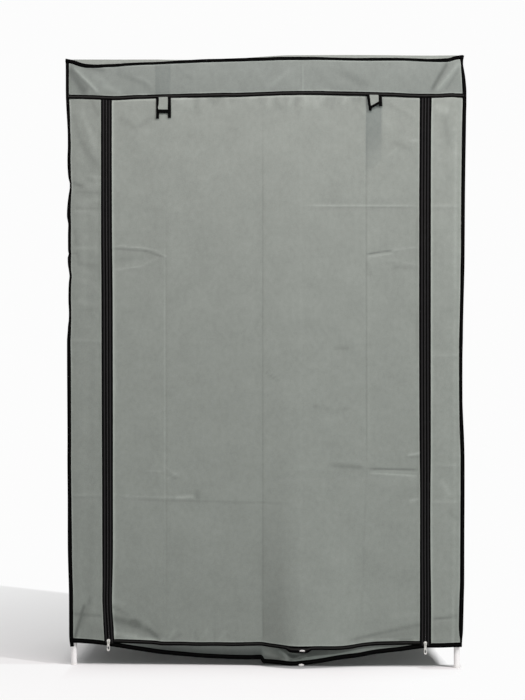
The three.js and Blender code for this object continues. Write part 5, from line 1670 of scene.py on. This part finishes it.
for corner in ("front_left", "front_right", "back_left", "back_right"):
    place = (*middleOf(f"lower_post_{corner}")[:2], 0)
    radius, bore = tube["radius"], tube["radius"] - tube["wall"]
    plug, flange = bore - tube["play"], radius + tube["capLip"]
    low, high = lowOf(f"lower_post_{corner}")[2], highOf(f"lower_post_{corner}")[2]
    piece = turnedPiece(f"lower_tube_{corner}", tubeProfile(low, high), place)
    dress(piece, "steel", [f"lower_post_{corner}"])
    low, high = lowOf(f"upper_post_{corner}")[2], highOf(f"upper_post_{corner}")[2]
    joint = low + tube["spigotLong"]
    profile = [(plug - 0.8 * mm, low), (plug - 0.3 * mm, low), (plug, low + 1 * mm), (plug, joint - 3 * mm),
               (radius - 0.5 * mm, joint - 0.4 * mm), (radius, joint + 0.6 * mm), (radius, high - 0.3 * mm),
               (radius - 0.3 * mm, high), (bore, high), (bore, joint), (plug - 0.8 * mm, joint - 3 * mm)]
    dress(turnedPiece(f"upper_tube_{corner}", profile, place), "steel", [f"upper_post_{corner}"])
    high, soft, rest = highOf(f"foot_cap_{corner}")[2], tube["capSoft"], tube["capHigh"]
    arc = [(flange - soft + soft * math.sin(a), soft - soft * math.cos(a))
           for a in np.linspace(0, math.pi / 2, 7)]
    profile = [(0, 0), (flange - 3.4 * mm, 0), *arc, (flange, rest - 0.4 * mm), (flange - 0.4 * mm, rest),
               (plug, rest), (plug, high - soft), (plug - soft, high), (0, high)]
    dress(turnedPiece(f"foot_{corner}", profile, place), "moulding", [f"foot_cap_{corner}"])

rails = [(f"{level}_rail_{side}", axis) for level in ("bottom", "top")
         for side, axis in (("front", "x"), ("back", "x"), ("left", "y"), ("right", "y"))]
for node, axis in [*rails, ("hanging_rail", "x")]:
    k = "xy".index(axis)
    place = middleOf(node)
    half = (highOf(node)[k] - lowOf(node)[k]) / 2
    dress(turnedPiece(node.replace("rail", "tube"), tubeProfile(-half, half), place, axis), "steel", [node])


shelf = {"thick": 0.8 * mm, "sag": 7 * mm, "ripple": 1.2 * mm, "gridAcross": (9 * mm, 3 * mm, 12 * mm)}


def shelfCloth():
    s = shelf
    front, back = middleOf("bottom_rail_front"), middleOf("bottom_rail_back")
    reach = highOf("shelf_cloth")[0]
    inner = tube["radius"] + 0.9 * mm
    level = front[2] + inner
    y = np.linspace(front[1], back[1], 70)
    sag = s["sag"] * (1 - ((y - (front[1] + back[1]) / 2) / (back[1] - front[1]) * 2) ** 2)
    angle = np.linspace(-0.35 * math.pi, -1.5 * math.pi, 44)
    frontWrap = np.stack([front[1] + inner * np.cos(angle), front[2] + inner * np.sin(angle)], 1)
    backWrap = np.stack([back[1] - inner * np.cos(angle[::-1]), back[2] + inner * np.sin(angle[::-1])], 1)
    sheet = np.stack([y, level - sag], 1)
    line = np.concatenate([frontWrap, sheet[1:-1], backWrap])
    x = stations(-reach, reach, [-reach, 0, reach], *s["gridAcross"])
    X, Y, Z = np.broadcast_arrays(x[None, :], line[:, :1], line[:, 1:])
    on = np.zeros(len(line))
    on[len(frontWrap):-len(backWrap)] = np.sin(np.linspace(0, math.pi, len(y) - 2))
    ripple = s["ripple"] * wander(X, Y, 0.14, 91) * on[:, None]
    piece = clothPiece("shelf_sheet", track(X, Y, Z + ripple)[::-1], s["thick"])
    return dress(piece, "cloth", ["shelf_cloth"])


shelfPiece = shelfCloth()
for name, node in frame["nodes"].items():
    if name.startswith(("bottom_corner", "top_corner", "rail_socket")):
        node.data.materials.clear()
        node.data.materials.append(finishes["moulding"])
print("frame made")

# The door's cloth and the door's zip halves get meshes of their own

leanIn = 0.0065  # a lean for the door's zip halves, paired with them below
for piece, lean in [(doorPiece, 0), *zip(doorZipPieces, (leanIn, leanIn, -leanIn, -leanIn))]:
    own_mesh(piece)

# Stage: a pale floor, mixed by place with plain white for the camera's rays as painted light, a small lamp
# from the right for the shadow and a long soft one in front of the top

stage = {
    "floorHalf": 9.0,
    "floorColour": 0.86,
    "floorRoughness": 0.7,
    "white": 0.975,
    "ambient": 0.42,
    "lamps": [
        # name, place, aimed at, width, height, watts
        ("sharp lamp", (4.82, -3.62, 4.46), (0.0, 0.0, 0.7), 0.38, 0.38, 263),
        ("long soft lamp", (0.2, -1.5, 2.65), (0.05, -0.2, 1.1), 2.4, 0.6, 40),
        ("back lamp", (-2.4, 3.0, 2.1), (0.0, 0.2, 0.85), 1.6, 1.6, 67),
    ],
    "sparesFloor": "back lamp",
    "warm": (1.0, 0.88, 0.9),
    # painted light: shares of plain white over the floor, which lighten and cut off its shadow, by place in
    # metres
    "least": 0.015,
    "front": {"from": 0.168, "over": 0.02, "share": 0.24, "rise": 0.46, "riseOver": 0.25, "right": 1.6,
              "rightFrom": 0.2, "late": (0.4, 0.02, 0.035), "left": (0.49, 0.03, 0.72)},
    "left": {"from": 0.48, "over": 0.08, "share": 0.315, "perY": 0.25, "perX": 0.2, "at": 0.634, "most": 0.8},
    "right": {"from": 0.43, "lean": 0.12, "leanFrom": 0.09, "over": 0.034,
              "strip": ((0.134, 0.02), (0.24, 0.012), (0.516, 0.008))},
    "beyond": {"slope": (0.562, 0.827), "at": (0.522, 0.239), "from": 0.02, "over": 0.1},
    "far": (2.2, 1.4),
}


def makeStage(s):
    f = Finish("pale floor")
    place = f.node("TexCoord", out="Object")
    x, y, _ = f.split(place)
    far = f.node("VectorMath", {"operation": "LENGTH"}, {0: place}, out="Value")

    def ramp(value, start, over):
        return ((value - start) / over).above(0.0).below(1.0)

    front, left, right, beyond = s["front"], s["left"], s["right"], s["beyond"]
    ahead = 0.0 - y
    begun = ramp(ahead - ramp(x, *front["late"][:2]) * front["late"][2], front["from"], front["over"])
    frontShare = begun * (ramp(ahead, front["from"], front["riseOver"]) * front["rise"] + front["share"]
                          + (x - front["rightFrom"]).above(0.0) * front["right"]).below(1.0)
    frontShare = frontShare.above(begun * ramp(0.0 - x, *front["left"][:2]) * front["left"][2])
    slanted = y * left["perY"] + (0.0 - x - left["at"]) * left["perX"] + left["share"]
    leftShare = ramp(0.0 - x, left["from"], left["over"]) * slanted.above(0.0).below(left["most"])
    near, deep, clear = right["strip"]
    strip = ramp(ahead, *near) * (1.0 - ramp(ahead, *deep)) * (1.0 - ramp(x, *clear))
    leaning = x - (ahead + right["leanFrom"]).above(0.0) * right["lean"]
    rightShare = ramp(leaning, right["from"], right["over"]) * (1.0 - strip)
    line = (x - beyond["at"][0]) * beyond["slope"][0] + (y - beyond["at"][1]) * beyond["slope"][1]
    # painted light: plain white mixed in by place, lightening the floor and its cast shadow and cutting it
    # off
    fade = ramp(line, beyond["from"], beyond["over"]).above(ramp(far, *s["far"])).above(s["least"])
    fade = fade.above(frontShare).above(leftShare).above(rightShare)
    tone = f.noise(place, 3.0, 3.0, 0.5)
    colour = f.mix(tone, rgba(*[s["floorColour"] * 0.995] * 3), rgba(*[s["floorColour"]] * 3))
    lit = f.node("BsdfPrincipled", sockets={
        "Base Color": colour, "Roughness": s["floorRoughness"], "Specular IOR Level": 0.2})
    white = f.node("Emission", sockets={"Color": rgba(*[s["white"]] * 3), "Strength": 1.0})
    both = f.node("MixShader", sockets={0: fade * f.looking(), 1: lit, 2: white})
    f.node("OutputMaterial", sockets={"Surface": both})
    size = s["floorHalf"]
    points = [(-size, -size, 0), (size, -size, 0), (size, size, 0), (-size, size, 0)]
    floor = makeMesh("floor", points, [(0, 1, 2, 3)])
    floor.data.materials.append(f.material)

    world = bpy.data.worlds.new("studio")
    bpy.context.scene.world = world
    w = Finish("studio", world)
    around = w.node("Background", sockets={"Color": rgba(1, 1, 1), "Strength": s["ambient"]})
    shown = w.node("Background", sockets={"Color": rgba(*[s["white"]] * 3)})
    mixed = w.node("MixShader", sockets={0: w.looking(), 1: around, 2: shown})
    w.node("OutputWorld", sockets={"Surface": mixed})

    for name, spot, aim, wide, high, watts in s["lamps"]:
        data = bpy.data.lights.new(name, "AREA")
        data.shape = "DISK" if wide == high else "RECTANGLE"
        data.size, data.size_y, data.energy = wide, high, watts
        data.color = s["warm"] if wide != high else (1, 1, 1)
        lamp = bpy.data.objects.new(name, data)
        lamp.location = spot
        direction = np.array(aim) - np.array(spot)
        flat = math.hypot(direction[0], direction[1])
        lamp.rotation_euler = (math.pi / 2 + math.atan2(direction[2], flat), 0,
                               math.atan2(direction[1], direction[0]) - math.pi / 2)
        bpy.context.scene.collection.objects.link(lamp)
        if name == s["sparesFloor"]:
            lit = bpy.data.collections.new("wardrobe alone")
            for piece in bpy.context.scene.objects:
                if piece.type == "MESH" and piece != floor:
                    lit.objects.link(piece)
            lamp.light_linking.receiver_collection = lit
    bpy.context.scene.view_settings.view_transform = "Standard"


makeStage(stage)
print("stage made")
